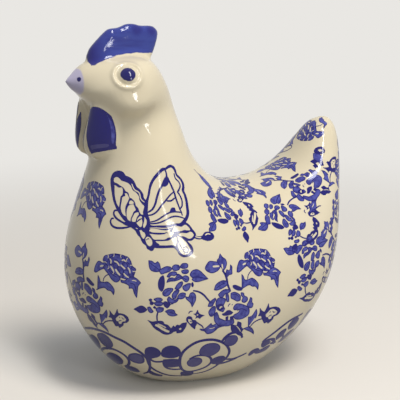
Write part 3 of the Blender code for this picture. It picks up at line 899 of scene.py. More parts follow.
# %% The nodding peony with its buds
drawing(
    "nodding_peony",
    wash((-6.8, 7.3), (-4.5, 9), (-1.1, 10), (2.2, 9.9), (5.3, 9.1), (8, 7), (9.2, 4.2),
         (10.9, 2.7), (10.5, 0.3), (9.2, -2.1), (6.4, -2.9), (3.6, -2.4), (1.1, -1.4),
         (-1.1, -0.1), (-3.6, 1.6), (-5.9, 3.1)),
    wash((-13.3, -0.7), (-12.7, 2), (-11.2, 4.6), (-9.7, 5.3), (-7.8, 4.6), (-5.8, 4.8),
         (-4.4, 3.4), (-5.5, 2.1), (-7.8, 1.3), (-9.8, 0.2), (-12, -1)),
    gap(0.62, (-9.2, 2.5), (-8, 3), (-6.5, 2.9)),
    wash((-7.3, 2.5), (-5.7, 3.9), (-4.5, 3.4), (-3.2, 1.7), (-1.6, 0), (1.1, -1), (2.7, -2.5),
         (1.8, -4.3), (0, -4.9), (-2.2, -3.5), (-3.8, -1.2), (-5.7, 0.7)),
    pen(0.34, (-4.5, 2.1), (-2.2, -0.6), (0.8, -2.2)),
    wash((-7.4, 6.7), (-6.5, 8.4), (-4.5, 9.1), (-3.8, 7.8), (-4.1, 6.2), (-5.6, 5.2),
         (-7.1, 5.6)),
    wash((-3.2, 7.4), (-1.7, 9.1), (1.1, 9.6), (3.5, 8.5), (3.8, 6.6), (1.7, 5.6), (0.8, 6.8),
         (-0.4, 6.6), (-1.3, 5.3), (-1.9, 3.6), (-3.1, 5)),
    wash((-3.6, 5), (-2.9, 5.6), (-2.1, 4.9), (-2.7, 4.1), (-3.5, 4.4)),
    wash((-1.2, 4.1), (-0.1, 5.2), (1.4, 4.6), (1.2, 2.7), (-0.4, 2.4)),
    wash((1.1, 2.9), (2.8, 3.5), (4.3, 1.4), (4, -0.7), (2.4, 0.4)),
    wash((3.6, 5.3), (5.3, 6), (6.6, 4.5), (6.3, 3), (4.5, 3)),
    wash((4.5, 1.6), (6.2, 2), (7.4, 0.6), (6.6, -1), (5, -0.4)),
    wash((4.6, 9.1), (6.8, 8.7), (8.5, 6.2), (8.8, 4.1), (7.3, 5.2), (5.5, 7.2)),
    wash((7.7, 1.7), (9.2, 3.8), (11, 2.8), (10.8, 1.3), (9.6, 0.4), (10.2, -1.8), (8.4, -1.8),
         (7.6, -0.3)),
    wash((3.7, -0.9), (4.4, -0.4), (4.6, -1.7), (4, -2.2)),
    wash((3, -3.4), (5, -3.8), (7.2, -2.2), (9.5, -1.6), (11.9, -2.7), (13.9, -4.8), (12.5, -6.5),
         (12.1, -9.1), (11.6, -13.1), (10.3, -10.8), (9.4, -8), (7.4, -8), (7.2, -6.3),
         (4.9, -5.2), (3.2, -4.8)),
    gap(0.39, (9, -3.6), (10.4, -3.5), (11.5, -4)),
    pen(0.39, (8, -5), (10.4, -5.9), (11.3, -9.5)),
    wash((-10.5, -2.4), (-9.5, -3.9), (-8.9, -5.6), (-6.7, -5.8), (-4.4, -5.3), (-2.1, -7),
         (-0.7, -9.5), (-1.3, -12.2), (-2.6, -10.2), (-4.5, -9.9), (-6.2, -8.8), (-8.1, -9.1),
         (-10.1, -9.9), (-11.1, -10.5), (-10.8, -6.7)),
    pen(0.39, (-7.2, -5.6), (-6.6, -3.5), (-5.2, -1.9), (-3.8, -1.2)),
    pen(0.5, (-11, -10.4), (-12, -10.6)),
    gap(0.62, (-2.7, 3.4), (-1.7, 2.1), (-0.8, 0.6)),
    gap(0.67, (0.1, 2.1), (1, 0.6), (2.6, -1.1)),
    gap(0.56, (-0.8, 6.2), (0.9, 5.6), (2.2, 3.9)),
    gap(0.5, (3.4, 6.7), (4.5, 7.2), (5.7, 6.2)),
    gap(0.56, (2.8, 4.5), (3.9, 3.6), (5.4, 2.4)),
    gap(0.5, (6.7, 3.4), (7.7, 2.1), (8, 0.3)),
    gap(0.56, (4.5, 0.2), (5.7, -1.1), (7.3, -2.1)),
    gap(0.5, (-3.4, 7.3), (-2.5, 6.2), (-2.7, 4.7)),
    gap(0.28, (-4.7, 9.4), (-4.1, 8.3), (-4.5, 7.3)),
    gap(0.28, (-1.1, 10.4), (-0.9, 9.2), (-1.3, 8.3)),
    gap(0.28, (3.1, 10.2), (2.7, 9), (3.1, 8.1)),
    gap(0.28, (6.8, 8.4), (5.9, 7.3), (6.3, 6.4)),
    gap(0.28, (9.6, 5), (8.5, 4.5), (7.8, 4.7)),
    gap(0.28, (11.4, 1.6), (10.1, 1.2), (9.3, 1.6)),
    gap(0.28, (-1.5, -0.7), (-0.8, 0.3), (-1.1, 1.1)),
    gap(0.28, (-4.5, 1.6), (-3.6, 2.5), (-3.9, 3.4)),
    gap(0.28, (-7.2, 5), (-5.9, 5.3), (-5, 4.7)),
)

# %% The butterfly's right wings and body
drawing(
    "butterfly_right_wings",
    deep((-7.2, 5.3), (-5.6, 8.3), (-4.6, 11.8), (-3.8, 14.6), (-1.7, 17.9), (1.1, 20.7),
         (3.4, 22.5), (5.6, 22.8), (7, 23.7), (8.7, 24.3), (10.6, 23.7), (11.9, 22.1),
         (12.4, 19.6), (14.6, 17.8), (16.1, 15.6), (16.2, 13.2), (15.4, 10.9), (16.2, 8.7),
         (16.6, 5.6), (16.5, 2), (16.4, -1.1), (15.2, -3.9), (13.7, -5.6), (11.2, -7.4),
         (8.7, -7.6), (7.8, -7.2), (5.6, -7.8), (2.2, -7.8), (-1.1, -7.6), (-4.5, -7.4),
         (-6.2, -7.8), (-7.2, -9), (-9, -9.1), (-8.4, -7.8), (-7.2, -6.2), (-6.8, -3.9),
         (-7.5, -2.2), (-8.4, -0.8), (-8.3, 1.1), (-7.4, 3.4), spread=0.34),
    hole((-6.4, 0.3), (-6, 3.4), (-5.5, 6.4), (-4.5, 9.5), (-3.4, 13.3), (-1.6, 16.5), (1.1, 19.2),
         (3.5, 21.2), (5.6, 22), (7, 22.7), (8.7, 23.3), (10.2, 22.6), (11.2, 20.7), (11.9, 18.8),
         (13.9, 17.1), (15, 15.1), (15, 13.2), (14.1, 11.2), (15, 8.7), (15.4, 5.6), (15.3, 2.2),
         (15.1, -1.1), (14.1, -3.1), (12.8, -4.5), (10.6, -6.3), (7.8, -6.4), (3.4, -7),
         (-1.1, -6.8), (-4.5, -6.6), (-5.8, -5.6), (-6, -2.2)),
    pen(0.84, (-6.4, 0.3), (-3.9, 1.7), (-2.1, 4.5), (-0.7, 8.4), (0.6, 11.2), (2.2, 13.4),
        (4.2, 16.8), (5.6, 18.8), (5.3, 21.8)),
    deep((2.5, 13.6), (3.4, 16), (4.9, 18), (5.9, 17.9), (6.3, 16), (5.6, 14.2), (4, 13.3)),
    pen(0.78, (5.6, 18.8), (6.7, 16.2), (7.8, 13.4), (9, 10.1), (9.8, 6.2), (10.6, 3.4),
        (11.3, 1.1)),
    pen(0.67, (-7.2, -1.1), (-4.5, -1.1), (-1.7, 0.3), (1.1, 3.4), (3.4, 5.6), (6.2, 8.4),
        (8.7, 10.1)),
    pen(0.67, (4.2, 5.6), (6.7, 5.6), (9, 7)),
    pen(0.62, (-5.6, -4.8), (-2.2, -4.2), (1.1, -2.5), (4.5, -0.8), (7.8, -0.3), (12, -0.8)),
    deep((5.5, 0), (6.6, 1.7), (8.3, 1.7), (8.7, 0), (7, -0.4)),
    pen(0.62, (-6.2, -5.6), (-1.7, -5.6), (2.2, -4.5), (5.6, -3.1), (8.4, -2.7), (11.8, -3.4),
        (13.7, -4.2)),
    pen(0.67, (10.6, 20.2), (11.1, 17.4), (13, 15.7), (13.6, 13.7), (12.3, 11.3), (11.2, 10.2),
        (12.4, 8.3), (13.3, 5.6), (12.8, 2.5), (11.2, 1.1), (11.9, -0.3), (12.4, -2.5)),
    deep((-6.4, -7.8), (-3.9, -7.5), (0, -8.4), (3.4, -8.5), (4.8, -8.1), (7.8, -7), (11.2, -7.3),
         (13.2, -6.3), (14.8, -7), (16.2, -8.4), (17.5, -10.4), (18.9, -12.3), (18.6, -13.7),
         (16.8, -15.4), (14.6, -15.6), (13.2, -15.2), (14.1, -16.8), (15.7, -18.5), (16.6, -20.7),
         (16, -22.7), (14, -23.8), (11.2, -24), (9.2, -22.7), (8.1, -20.7), (6.7, -19),
         (5.6, -18.6), (2.2, -18.5), (-1.7, -18.3), (-3.9, -17.8), (-4.5, -15.7), (-5.6, -13.7),
         (-7.2, -12), (-8.4, -10.6), spread=0.22),
    hole((-5.6, -8.3), (-2.8, -8.5), (0.6, -9.4), (3.4, -9.6), (5, -9.1), (4.5, -10.4),
         (2.2, -10.8), (-1.1, -10.6), (-4.5, -10.2), (-6.4, -9.4)),
    hole((-7.3, -10.6), (-4.5, -11.2), (-1.1, -11.6), (1.7, -11.5), (3.4, -10.5), (5, -10.6),
         (6.7, -11.2), (5.6, -12.9), (3.4, -13.7), (1.1, -14.3), (-2.2, -14.1), (-3.9, -14),
         (-5.3, -12.9)),
    hole((-3.4, -14.8), (0, -15.1), (3.4, -15), (5.6, -14), (7.6, -13.4), (8.4, -14.6),
         (7.8, -16.8), (7.3, -18.5), (5.6, -17.6), (2.2, -17.5), (-1.1, -17.2), (-2.5, -16.8)),
    hole((8.4, -7.8), (11.2, -8.3), (13.4, -7.4), (15.1, -8.4), (16.2, -10.1), (15.1, -10.6),
         (12.9, -10.1), (10.6, -10.6), (7.8, -10.6), (5.6, -11.2), (6.2, -9.2)),
    hole((9, -11.9), (11.2, -11.5), (13.7, -11.9), (16.2, -11.2), (17.5, -12), (17.9, -13.2),
         (16.5, -14.6), (14.7, -14.8), (13.2, -14), (11.8, -13.4), (10.1, -13.2)),
    hole((8.4, -12.9), (10.1, -13.7), (11.5, -14.8), (13.2, -16.5), (14.6, -18.8), (15.4, -20.7),
         (14.8, -22.1), (13.2, -23), (11.2, -23.1), (9.8, -21.8), (8.7, -19.6), (8.4, -16.8)),
    pen(0.34, (7.8, -11.5), (8.7, -15.7), (10.1, -19), (11.2, -20.7)),
    pen(0.34, (11.2, -19.6), (12.9, -18.8), (14.1, -20.3), (13.6, -22.1), (11.9, -21.8),
        (11.2, -20.6), (12.3, -20)),
    pen(0.34, (1.1, -11.5), (2.5, -10.8), (3.4, -11.2)),
    pen(0.34, (2.5, -14.1), (3.9, -13.6)),
    pen(0.34, (10.6, -11.2), (14.6, -10.6), (16.8, -11.2)),
    gap(0.34, (-6, -7.9), (-2.8, -8), (1.1, -8.5), (4.5, -8.4), (7.8, -7.8)),
    pen(1.23, (17.9, -13.9), (20.7, -14.7), (23.5, -14.4), (25.5, -13.6)),
    gap(0.45, (18.8, -13.9), (21.3, -14.6), (23.8, -14.1)),
    deep((23.2, -13.7), (24.9, -12), (26.9, -11.6), (28.8, -11.9), (30.2, -13.2), (30.1, -14.8),
         (28.3, -16.1), (25.8, -16.4), (23.8, -15.8), (22.1, -15.1)),
    gap(0.5, (24.9, -13.4), (26.6, -12.6), (28.3, -12.9)),
    deep((-17.1, -4.8), (-14.8, -4.2), (-13.2, -5), (-11.2, -7.3), (-8.7, -9.5), (-6.4, -11.2),
         (-4.8, -13.7), (-3.4, -15.4), (-1.7, -16.8), (-2.1, -17.6), (-4.2, -18.2), (-5.3, -19.6),
         (-6.4, -19.7), (-7.2, -19), (-8.1, -18.5), (-8.7, -16.8), (-10.4, -15.1), (-11.5, -12.3),
         (-12.9, -10.6), (-14, -8.4), (-16.5, -6.3)),
    hole((-14.3, -5.9), (-13.3, -5.7), (-12, -7.3), (-12.6, -7.8), (-13.7, -7.4)),
    hole((-11.6, -8.7), (-10.2, -8.7), (-8.7, -10.6), (-8.7, -12), (-9.8, -13.3), (-10.8, -11.8)),
    hole((-8.7, -13.2), (-7.4, -12.3), (-5.9, -13.2), (-5.2, -15.1), (-5.6, -16.8), (-7, -17.2),
         (-8.3, -15.7)),
    pen(0.34, (-8.4, -14), (-7.3, -13.2), (-6.7, -13.7)),
)

# %% The butterfly's left wings and feelers
drawing(
    "butterfly_left_wings",
    deep((-12.4, 11.4), (-12.2, 13.4), (-11, 15.4), (-9, 16.4), (-6.8, 16.5), (-5, 15.7),
         (-3.6, 14.1), (-2, 13.5), (-0.2, 12.6), (1.4, 10.8), (2.6, 8.6), (4.6, 7), (6.2, 5),
         (6.8, 3), (8.2, 1.4), (9.1, 0.4), (8.9, -1.6), (8.6, -3.6), (9.4, -5.6), (10.6, -7.6),
         (11, -10), (10.6, -12.4), (9.4, -14.2), (8, -14.3), (7.2, -13.4), (5.6, -12.9), (4, -12),
         (2.4, -11), (0.8, -11.6), (-0.4, -10.8), (-3.2, -8), (-5.2, -5.6), (-7.2, -2.8),
         (-9.4, 1.2), (-10.6, 4.8), (-11.7, 8.4), spread=0.2),
    hole((-10.5, 12.8), (-9, 13.6), (-7.4, 13.2), (-5.6, 11.7), (-3.6, 11.1), (-1.8, 10.4),
         (-0.2, 9), (1, 6.8), (2.8, 5.6), (4.4, 3.6), (4.8, 1.8), (6.2, 0), (7.6, -1.4), (8, -4),
         (7.6, -5.6), (6.4, -5.6), (5.4, -4.6), (4.4, -2.4), (3.2, -1.2), (2.4, 0.8), (0.8, 2.4),
         (-0.4, 3), (-1.2, 5.2), (-2.8, 6.2), (-4.2, 8), (-6.4, 9.2), (-8, 10.2), (-10, 11)),
    hole((-9.7, 9.5), (-8.4, 8.8), (-6.8, 8), (-5, 8), (-4.4, 6.2), (-4.6, 4.2), (-5.5, 3.2),
         (-5.6, 1.2), (-6, -2.4), (-7.6, 0), (-8.8, 3.2), (-9.4, 6.4)),
    hole((-3.2, 5.1), (-2, 4.9), (-0.9, 3.2), (-0.6, 2.4), (-1.4, 0.4), (-2.3, -1.8), (-2.3, -4.4),
         (-1.7, -6.8), (-3.2, -6.2), (-4.6, -4), (-4.9, -1.6), (-4.5, 1.6), (-4.3, 3),
         (-2.8, 3.6)),
    hole((0.2, 1.4), (1.4, 1), (2.1, 0), (0.8, -0.6), (-0.4, -0.6), (-0.5, 0.4)),
    hole((-0.4, -1.2), (1.8, -0.5), (2.8, -2.4), (3.2, -3.4), (2.2, -4.4), (1.6, -6), (0.8, -8),
         (0.8, -9.4), (-0.4, -8.8), (-1.3, -7.2), (-1.5, -4.4), (-1.2, -2.6)),
    hole((3, -5), (4.6, -4.6), (5, -5.6), (4, -7.2), (3.4, -9.4), (1.8, -9.6), (1.4, -8.4),
         (2.2, -6.4)),
    hole((5.6, -6.6), (6.6, -6.7), (6.7, -7.4), (5, -8.2), (4.4, -9.2), (4.4, -8)),
    hole((4, -10), (5.6, -8.8), (6.7, -8), (7.1, -9.6), (6.9, -11.6), (6, -12.2), (4.9, -11.4)),
    hole((8, -6.6), (9, -7.6), (10, -9.2), (9.9, -11.2), (9.1, -12.6), (8, -12.5), (7.6, -11.2),
         (8.1, -8.8)),
    gap(0.4, (0.2, 10.2), (1.8, 7.2), (4.4, 5.6), (5.6, 2.4), (7.6, 0.8)),
    pen(0.8, (-6.6, -4), (-8.2, -4), (-8.9, -5.4), (-8, -7.2), (-6, -8.8), (-3.2, -10.2),
        (0, -11.2)),
    pen(1.04, (-3.2, -10.3), (-1.2, -11), (0.8, -11.6)),
    pen(0.8, (-8.6, -8.3), (-9.8, -8.2), (-10.6, -9.8), (-9.6, -11.8), (-7.2, -13), (-4, -13.1),
        (-0.8, -12.6), (0.8, -12)),
    deep((-0.4, -11.6), (0.6, -10.2), (2.4, -9.8), (3.6, -10.6), (4.8, -12), (4, -12.6),
         (2.4, -12), (1, -12.4)),
)

# %% The scrolls and balls of the border
drawing(
    "scroll_medallion",
    pen(1.19, (0, -3.4), (2.5, -1.7), (5.6, -1.2), (9, -2), (11.5, -3.8), (12.7, -6.2),
        (12.8, -8.7), (11.5, -11.2), (9, -13.4), (5.6, -15), (2.5, -15.7), (0, -15.4), (-2, -14.1),
        (-3.5, -12), (-4.7, -8.4), (-5.2, -5), (-5.1, -1.1), (-3.8, 2.8), (-1.1, 5.9), (2.2, 8.1),
        (5.6, 9.1), (9.5, 9.2), (13.4, 8.4), (17.4, 6.3), (20.6, 3.4), (22.6, -0.6), (22.8, -3.9),
        (21.7, -7), (20.2, -9), (17.9, -11.5), (15.1, -14.7), (12.3, -17.1), (8.4, -19),
        (3.9, -19.6)),
    pool((5.2, 1.7), (6.2, 4.5), (8.7, 6.2), (11.8, 6.4), (14.8, 5.5), (16.7, 3.4), (16.7, 0.6),
         (14.8, -1.7), (11.2, -3.1), (7.8, -2), (5.6, -0.3)),
    pool((-1, -6.4), (-0.3, -4.2), (1.7, -2.9), (4.2, -2.7), (6.4, -3.9), (7.4, -6.4), (6.4, -9),
         (4.2, -10.5), (2, -10.4), (0, -9)),
    deep((12.4, -7.8), (13.6, -5.8), (16.2, -4.6), (19.5, -4.9), (20.8, -6.7), (20.3, -9.4),
         (17.6, -10.9), (14.8, -10.8), (13, -9.5)),
    pen(1.12, (20.4, -7.8), (23, -8.7), (25.8, -9.4), (30.2, -8.7), (34.7, -7.3)),
    pen(1.26, (17.5, 5.6), (18.8, 8), (21.2, 10.1), (24.1, 11.2), (27.2, 10.9), (29.4, 9.2),
        (30.2, 6.2)),
    pool((19.2, 5.6), (19.9, 7.8), (21.8, 9.2), (24.4, 9.4), (26.6, 8.3), (27.4, 5.9), (26.3, 3.4),
         (23.8, 2.1), (21.3, 2.8), (19.6, 4.2)),
    deep((-25.3, 1.1), (-24.8, 3.9), (-22.7, 5.5), (-20.2, 5.6), (-17.6, 4.2), (-16.2, 1.7),
         (-17, -1), (-19.6, -2.6), (-21, -3.4), (-21.7, -5.6), (-21.3, -10.1), (-22.1, -11.5),
         (-23.4, -8.4), (-24.6, -3.4)),
    deep((-24.6, 1.2), (-24.1, 3.4), (-22.4, 4.8), (-20.2, 4.9), (-18, 3.8), (-17, 1.7),
         (-17.6, -0.3), (-19.7, -1.7), (-22.1, -1.7), (-24, -0.7)),
    deep((-15.8, 1.7), (-15.1, 4.8), (-12.9, 6.7), (-10.1, 7.2), (-7.3, 5.9), (-5.5, 3.4),
         (-5.3, 0.6), (-7.3, -1.2), (-10.1, -1.8), (-13.4, -1.5), (-15.4, -0.3)),
    pen(0.84, (-13.3, -0.3), (-13, 2), (-10.6, 3.2), (-7.8, 2.5), (-6.4, 0)),
    deep((-14.4, -5.6), (-14.3, -3.4), (-11.8, -3), (-9, -2.7), (-5.5, -3.1), (-5.2, -5.6),
         (-4.6, -9.1), (-7.3, -9.8), (-10.1, -10.3), (-12.6, -9.2), (-14.1, -7.8)),
    pen(1.12, (-22.2, -4), (-19.6, -5.8), (-16.2, -5.5), (-13.9, -4.5)),
    pen(1.19, (-14.2, -5.6), (-13.3, -9), (-11.2, -11.5), (-7.8, -12.4), (-3.6, -12.2)),
    pen(1.26, (-24.1, -3.4), (-22.4, -10.1), (-19.6, -14.3), (-15.1, -18), (-11.2, -20.3),
        (-6.7, -21.4), (-2.2, -21.6)),
    deep((-3.4, -15.7), (-1.1, -15.2), (2.2, -15.4), (3.6, -16.8), (3.5, -20.4), (1.1, -22.1),
         (-2.2, -21.3), (-3.4, -18.5)),
    deep((-21.8, -16.8), (-18.5, -19.6), (-14, -21.3), (-14.6, -24.1), (-19.6, -24.1),
         (-22.4, -21.3)),
)
drawing(
    "breast_medallion",
    pen(1.32, (-29.8, 3.8), (-26.9, 6.6), (-24, 8.2), (-19.7, 10.6), (-15.4, 12.2), (-10.1, 13.1),
        (-4.8, 12.5), (0, 10.6), (4.8, 8.2), (9.1, 4.3), (12.5, 0.5), (14.3, -2.9), (15.1, -6.7),
        (14.6, -11.5), (13, -15.8), (10.6, -19.2), (6.7, -22.1)),
    deep((-14, 5.8), (-13, 9.1), (-10.1, 11), (-7.2, 11.4), (-4.6, 9.6), (-3.3, 6.2), (-3.8, 3.4),
         (-6.2, 1), (-9.6, 0.2), (-12.5, 1.9)),
    deep((-26.9, 0), (-23.5, 2.4), (-20.2, 4.8), (-17.3, 5.5), (-14.9, 3.8), (-15.1, 0),
         (-16.8, -4.3), (-19.7, -7.7), (-23, -10.6), (-26.4, -9.6)),
    pen(1.32, (-25, -16.8), (-22.6, -13.9), (-18.7, -9.1), (-14.4, -4.3), (-9.6, -1), (-4.8, 0.5),
        (-1, -0.5), (1.9, -2.9), (3, -6.2), (2.4, -9.6), (0, -13.4), (-3.4, -16.3)),
    deep((-20.6, -19.7), (-18.7, -16.8), (-15.4, -11.5), (-12, -7.2), (-8.2, -4.3), (-4.8, -3.8),
         (-2.4, -5.3), (-1.5, -8.6), (-2.9, -12), (-5.3, -14.9), (-9.1, -17.8), (-13.9, -20.2),
         (-18.2, -21.6)),
    pool((3.6, -4.8), (4.8, -1.9), (7.2, -0.4), (10.1, -0.2), (12.6, -1.9), (13.1, -4.8),
         (11.8, -7.9), (9.1, -9.2), (6.2, -8.6), (4.3, -7.2), edge=1.15),
    deep((-3.4, -16.8), (-0.5, -14.4), (2.9, -13.9), (5.3, -16.3), (4.8, -20.2), (0, -22.1),
         (-3.8, -20.6)),
)
drawing(
    "rear_medallion",
    pen(1.17, (-0.5, -5.2), (1, -3.6), (3.1, -2.3), (7.3, 0.2), (11.4, 2.6), (15.6, 4.6),
        (19.2, 5.6), (22.9, 6), (28.1, 6.2)),
    deep((17.2, 0.5), (17.9, 3.1), (20.3, 4.9), (22.9, 5.2), (25.2, 3.6), (25.5, 1), (23.9, -1),
         (20.8, -2.6), (18.2, -1.8)),
    deep((9.4, -4.7), (10.4, -2.3), (13, -0.5), (15.6, -0.3), (16.5, -2.1), (15.6, -4.7),
         (13.3, -6.5), (10.7, -7.2)),
    deep((-0.5, -6.2), (0.5, -4.7), (3.1, -3.9), (6.2, -4.2), (8.6, -5.2), (10.4, -8.3),
         (11.4, -9.9), (9.9, -10.4), (7.8, -9.4), (5.2, -8.6), (2.1, -9.9), (0.3, -8.8)),
    deep((-7.2, -13), (-6.5, -10.7), (-4.2, -9.4), (-1.8, -9.6), (0, -11.4), (3.1, -10.4),
         (6.2, -9.9), (7.3, -11.4), (6, -13.8), (3.1, -14.8), (-0.5, -14.6), (-2.3, -13.8),
         (-3.6, -12.7), (-5.2, -14.3), (-6.5, -14.5)),
    gap(0.42, (5.2, -5.7), (7.3, -7.3), (5.7, -8.3)),
    deep((14, -11.4), (15.6, -8.3), (19.2, -5.7), (22.9, -4.7), (26, -5.7), (25.5, -9.4),
         (22.4, -11.4), (18.2, -12.7)),
    pen(1.3, (-27, -18.7), (-22.9, -17.9), (-19.2, -16.6), (-16.6, -15.3), (-14.3, -14.1)),
    pen(1.17, (13.5, -3.1), (15.6, -6.2), (16.6, -8.3)),
)

# %% The wattle's panel
drawing(
    "wattle_panel",
    deep((-10.2, 0), (-11.5, 3.2), (-12.2, 6.4), (-12, 9.1), (-10.6, 10.7), (-8, 11.2),
         (-5.4, 11.2), (-2.9, 10.9), (-0.3, 10.1), (2.2, 8.7), (4.5, 6.9), (6.6, 4.6), (8.3, 2.2),
         (9.1, 0), (9.4, -1.9), (9.4, -4.5), (9.1, -7), (8.6, -9.3), (7.8, -11.4), (6.1, -12),
         (3.2, -12.3), (0, -12.8), (-2.6, -13.4), (-5.1, -14.3), (-6.9, -15.5), (-8, -12.2),
         (-9.1, -8), (-9.9, -3.8)),
    wash((3.2, 6.7), (5, 5.1), (6.6, 3.2), (7.7, 1.3), (8.3, -1.3), (8.3, -4.5), (7.8, -7),
         (7.2, -9), (5.8, -9.1), (5.3, -6.4), (5.4, -3.2), (5.1, 0), (4.3, 3.2)),
    pool((-6.7, -9.6), (-3.8, -8.8), (-1, -8.4), (1.6, -8.2), (3.8, -8.5), (4.5, -9.6),
         (3.2, -10.7), (-1, -11.2), (-4.2, -12), (-6.2, -12.8), (-6.9, -11.2)),
)

# %% Small pieces that fill the gaps
drawing(
    "hanging_leaf",
    pen(0.5, (-7, 10), (-4.5, 6), (-1.5, 1), (2, -4)),
    wash((-3.5, 4.5), (0, 2), (3, -3), (4.5, -9), (4, -14), (1.5, -12.5), (-1, -8), (-3, -2)),
)
drawing(
    "bud_sprig",
    deep((-4.5, 5), (-2, 7.5), (2, 8), (4.5, 5.5), (4, 2.5), (0, 1), (-3.5, 2)),
    hole((-1.5, 5), (1, 6), (2.5, 4.5), (0.5, 3.2)),
    wash((-5, 2), (0, 1), (3, -2), (2, -6), (-2, -6.5), (-4.5, -3)),
    deep((-7, -6), (-4, -4), (-1, -6), (-3, -9)),
    deep((0, -6), (3, -5), (4.5, -9), (1.5, -10)),
    deep((-4.5, -10), (-2, -8.5), (0, -11), (-2.5, -12.5)),
)
drawing(
    "tendril",
    pen(0.5, (-7, -4), (-2, 0), (4, 3), (6.2, 2), (4, -1), (-1, -4), (-6, -7)),
)

# %% The wattle's thin edge
drawing(
    "wattle_edge",
    deep((0, 11), (1.7, 7), (2.5, 2), (2.3, -3), (1.4, -7), (0, -10), (-1.4, -7), (-2.3, -3),
         (-2.5, 2), (-1.7, 7)),
)

# %% [markdown]
# ### Laying the prints
# Each print is moved so that its middle touches the skin, turned to its place, and then
# pressed down: Shrinkwrap moves every point to the nearest place on the skin and keeps a
# film's thickness off it. The film's shading would differ a little from the skin's, so a
# Data Transfer copies the skin's own normals and the gloss runs over both unbroken.

# %% Lay the prints on the skin
FILM, BRUSHED_FILM = 0.05 * MM, 0.15 * MM
surface = BVHTree.FromObject(skin, bpy.context.evaluated_depsgraph_get())
sheets = {name: flat_print(marks) for name, marks in DRAWINGS.items()}
for name, (_, triangles, _) in sheets.items():
    print(name, len(triangles), "triangles")


def lay(bm, name, near, turn=0.0, size=1.0, mirrored=False):
    """Puts one print flat against the skin near a point given in mm."""
    middle, out, _, _ = surface.find_nearest(Vector(near) * MM)
    up = (Vector((0, 0, 1)) - out * out.z).normalized()
    right = up.cross(out)
    c, s = math.cos(math.radians(turn)), math.sin(math.radians(turn))
    right, up = right * c + up * s, up * c - right * s
    if mirrored:
        right = -right
    corners, triangles, inks = sheets[name]
    flat = np.array(middle) + (corners * size * MM) @ np.array([right, up])
    verts = [bm.verts.new(p) for p in flat]
    for corner_numbers, ink in zip(triangles, inks):
        if mirrored:
            corner_numbers = corner_numbers[::-1]
        face = bm.faces.new([verts[n] for n in corner_numbers])
        face.material_index = int(ink) - LINE
        face.smooth = True


def pressed_on(piece_name, places, film=FILM):
    """One piece from many prints, wrapped on the skin and shaded with the skin's normals."""
    bm = bmesh.new()
    for place in places:
        lay(bm, **place)
    bmesh.ops.delete(bm, geom=[v for v in bm.verts if not v.link_faces], context="VERTS")
    sheet = new_object(piece_name, bm)
    for ink in (cobalt_line, cobalt_wash, cobalt_pool):
        sheet.data.materials.append(ink)
    press = sheet.modifiers.new("press", "SHRINKWRAP")
    press.target = skin
    press.wrap_method = "NEAREST_SURFACEPOINT"
    press.wrap_mode = "ABOVE_SURFACE"
    press.offset = film
    gloss = sheet.modifiers.new("gloss", "DATA_TRANSFER")
    gloss.object = skin
    gloss.use_loop_data = True
    gloss.data_types_loops = {"CUSTOM_NORMAL"}
    gloss.loop_mapping = "POLYINTERP_NEAREST"
    apply_modifiers(sheet)
    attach(sheet, "root")
    print(piece_name, len(sheet.data.polygons), "triangles")
    return sheet


# %% [markdown]
# The prints are one cobalt at three strengths, all under the same clear glaze, so they share
# its gloss. The line is printed so thickly that the eye sees an almost black blue. A wash
# is thin enough for the white body to show through, so it is lighter, and it blots over a
# couple of millimetres. The balls of the border carry a heavier, greyer wash.

# %% Cobalt inks under the glaze
BLOTS, POOL_BLOTS = 2.2 * MM, 4 * MM
THIN_SPOT, THICK_SPOT = 0.36, 0.64

cobalt_line, tree = new_material("cobalt_printed_line")
under_clear_glaze(tree, "0a056a")

cobalt_wash, tree = new_material("cobalt_printed_wash")
place = add(tree, "TexCoord").outputs["Object"]
blots = add(tree, "TexNoise", {}, {"Vector": place, "Scale": 1 / BLOTS, "Detail": 3.0})
uneven = add(tree, "MapRange", {}, {
    "Value": blots.outputs["Fac"], "From Min": THIN_SPOT, "From Max": THICK_SPOT,
}).outputs["Result"]
tone = add(tree, "Mix", {"data_type": "RGBA"}, {0: uneven, 6: "28297f", 7: "4a50a2"})
under_clear_glaze(tree, tone.outputs[2])

cobalt_pool, tree = new_material("cobalt_printed_heavy_wash")
place = add(tree, "TexCoord").outputs["Object"]
blots = add(tree, "TexNoise", {}, {"Vector": place, "Scale": 1 / POOL_BLOTS, "Detail": 2.0})
tone = add(tree, "Mix", {"data_type": "RGBA"},
           {0: blots.outputs["Fac"], 6: "2a2672", 7: "46457f"})
under_clear_glaze(tree, tone.outputs[2])

# %% [markdown]
# A place is a point in millimetres near the skin, a turn in degrees and a size. On the real
# hen one printed sheet goes round the belly, so its flowers come back about every 85 mm, and
# the sheet lies turned where it goes up over the back.

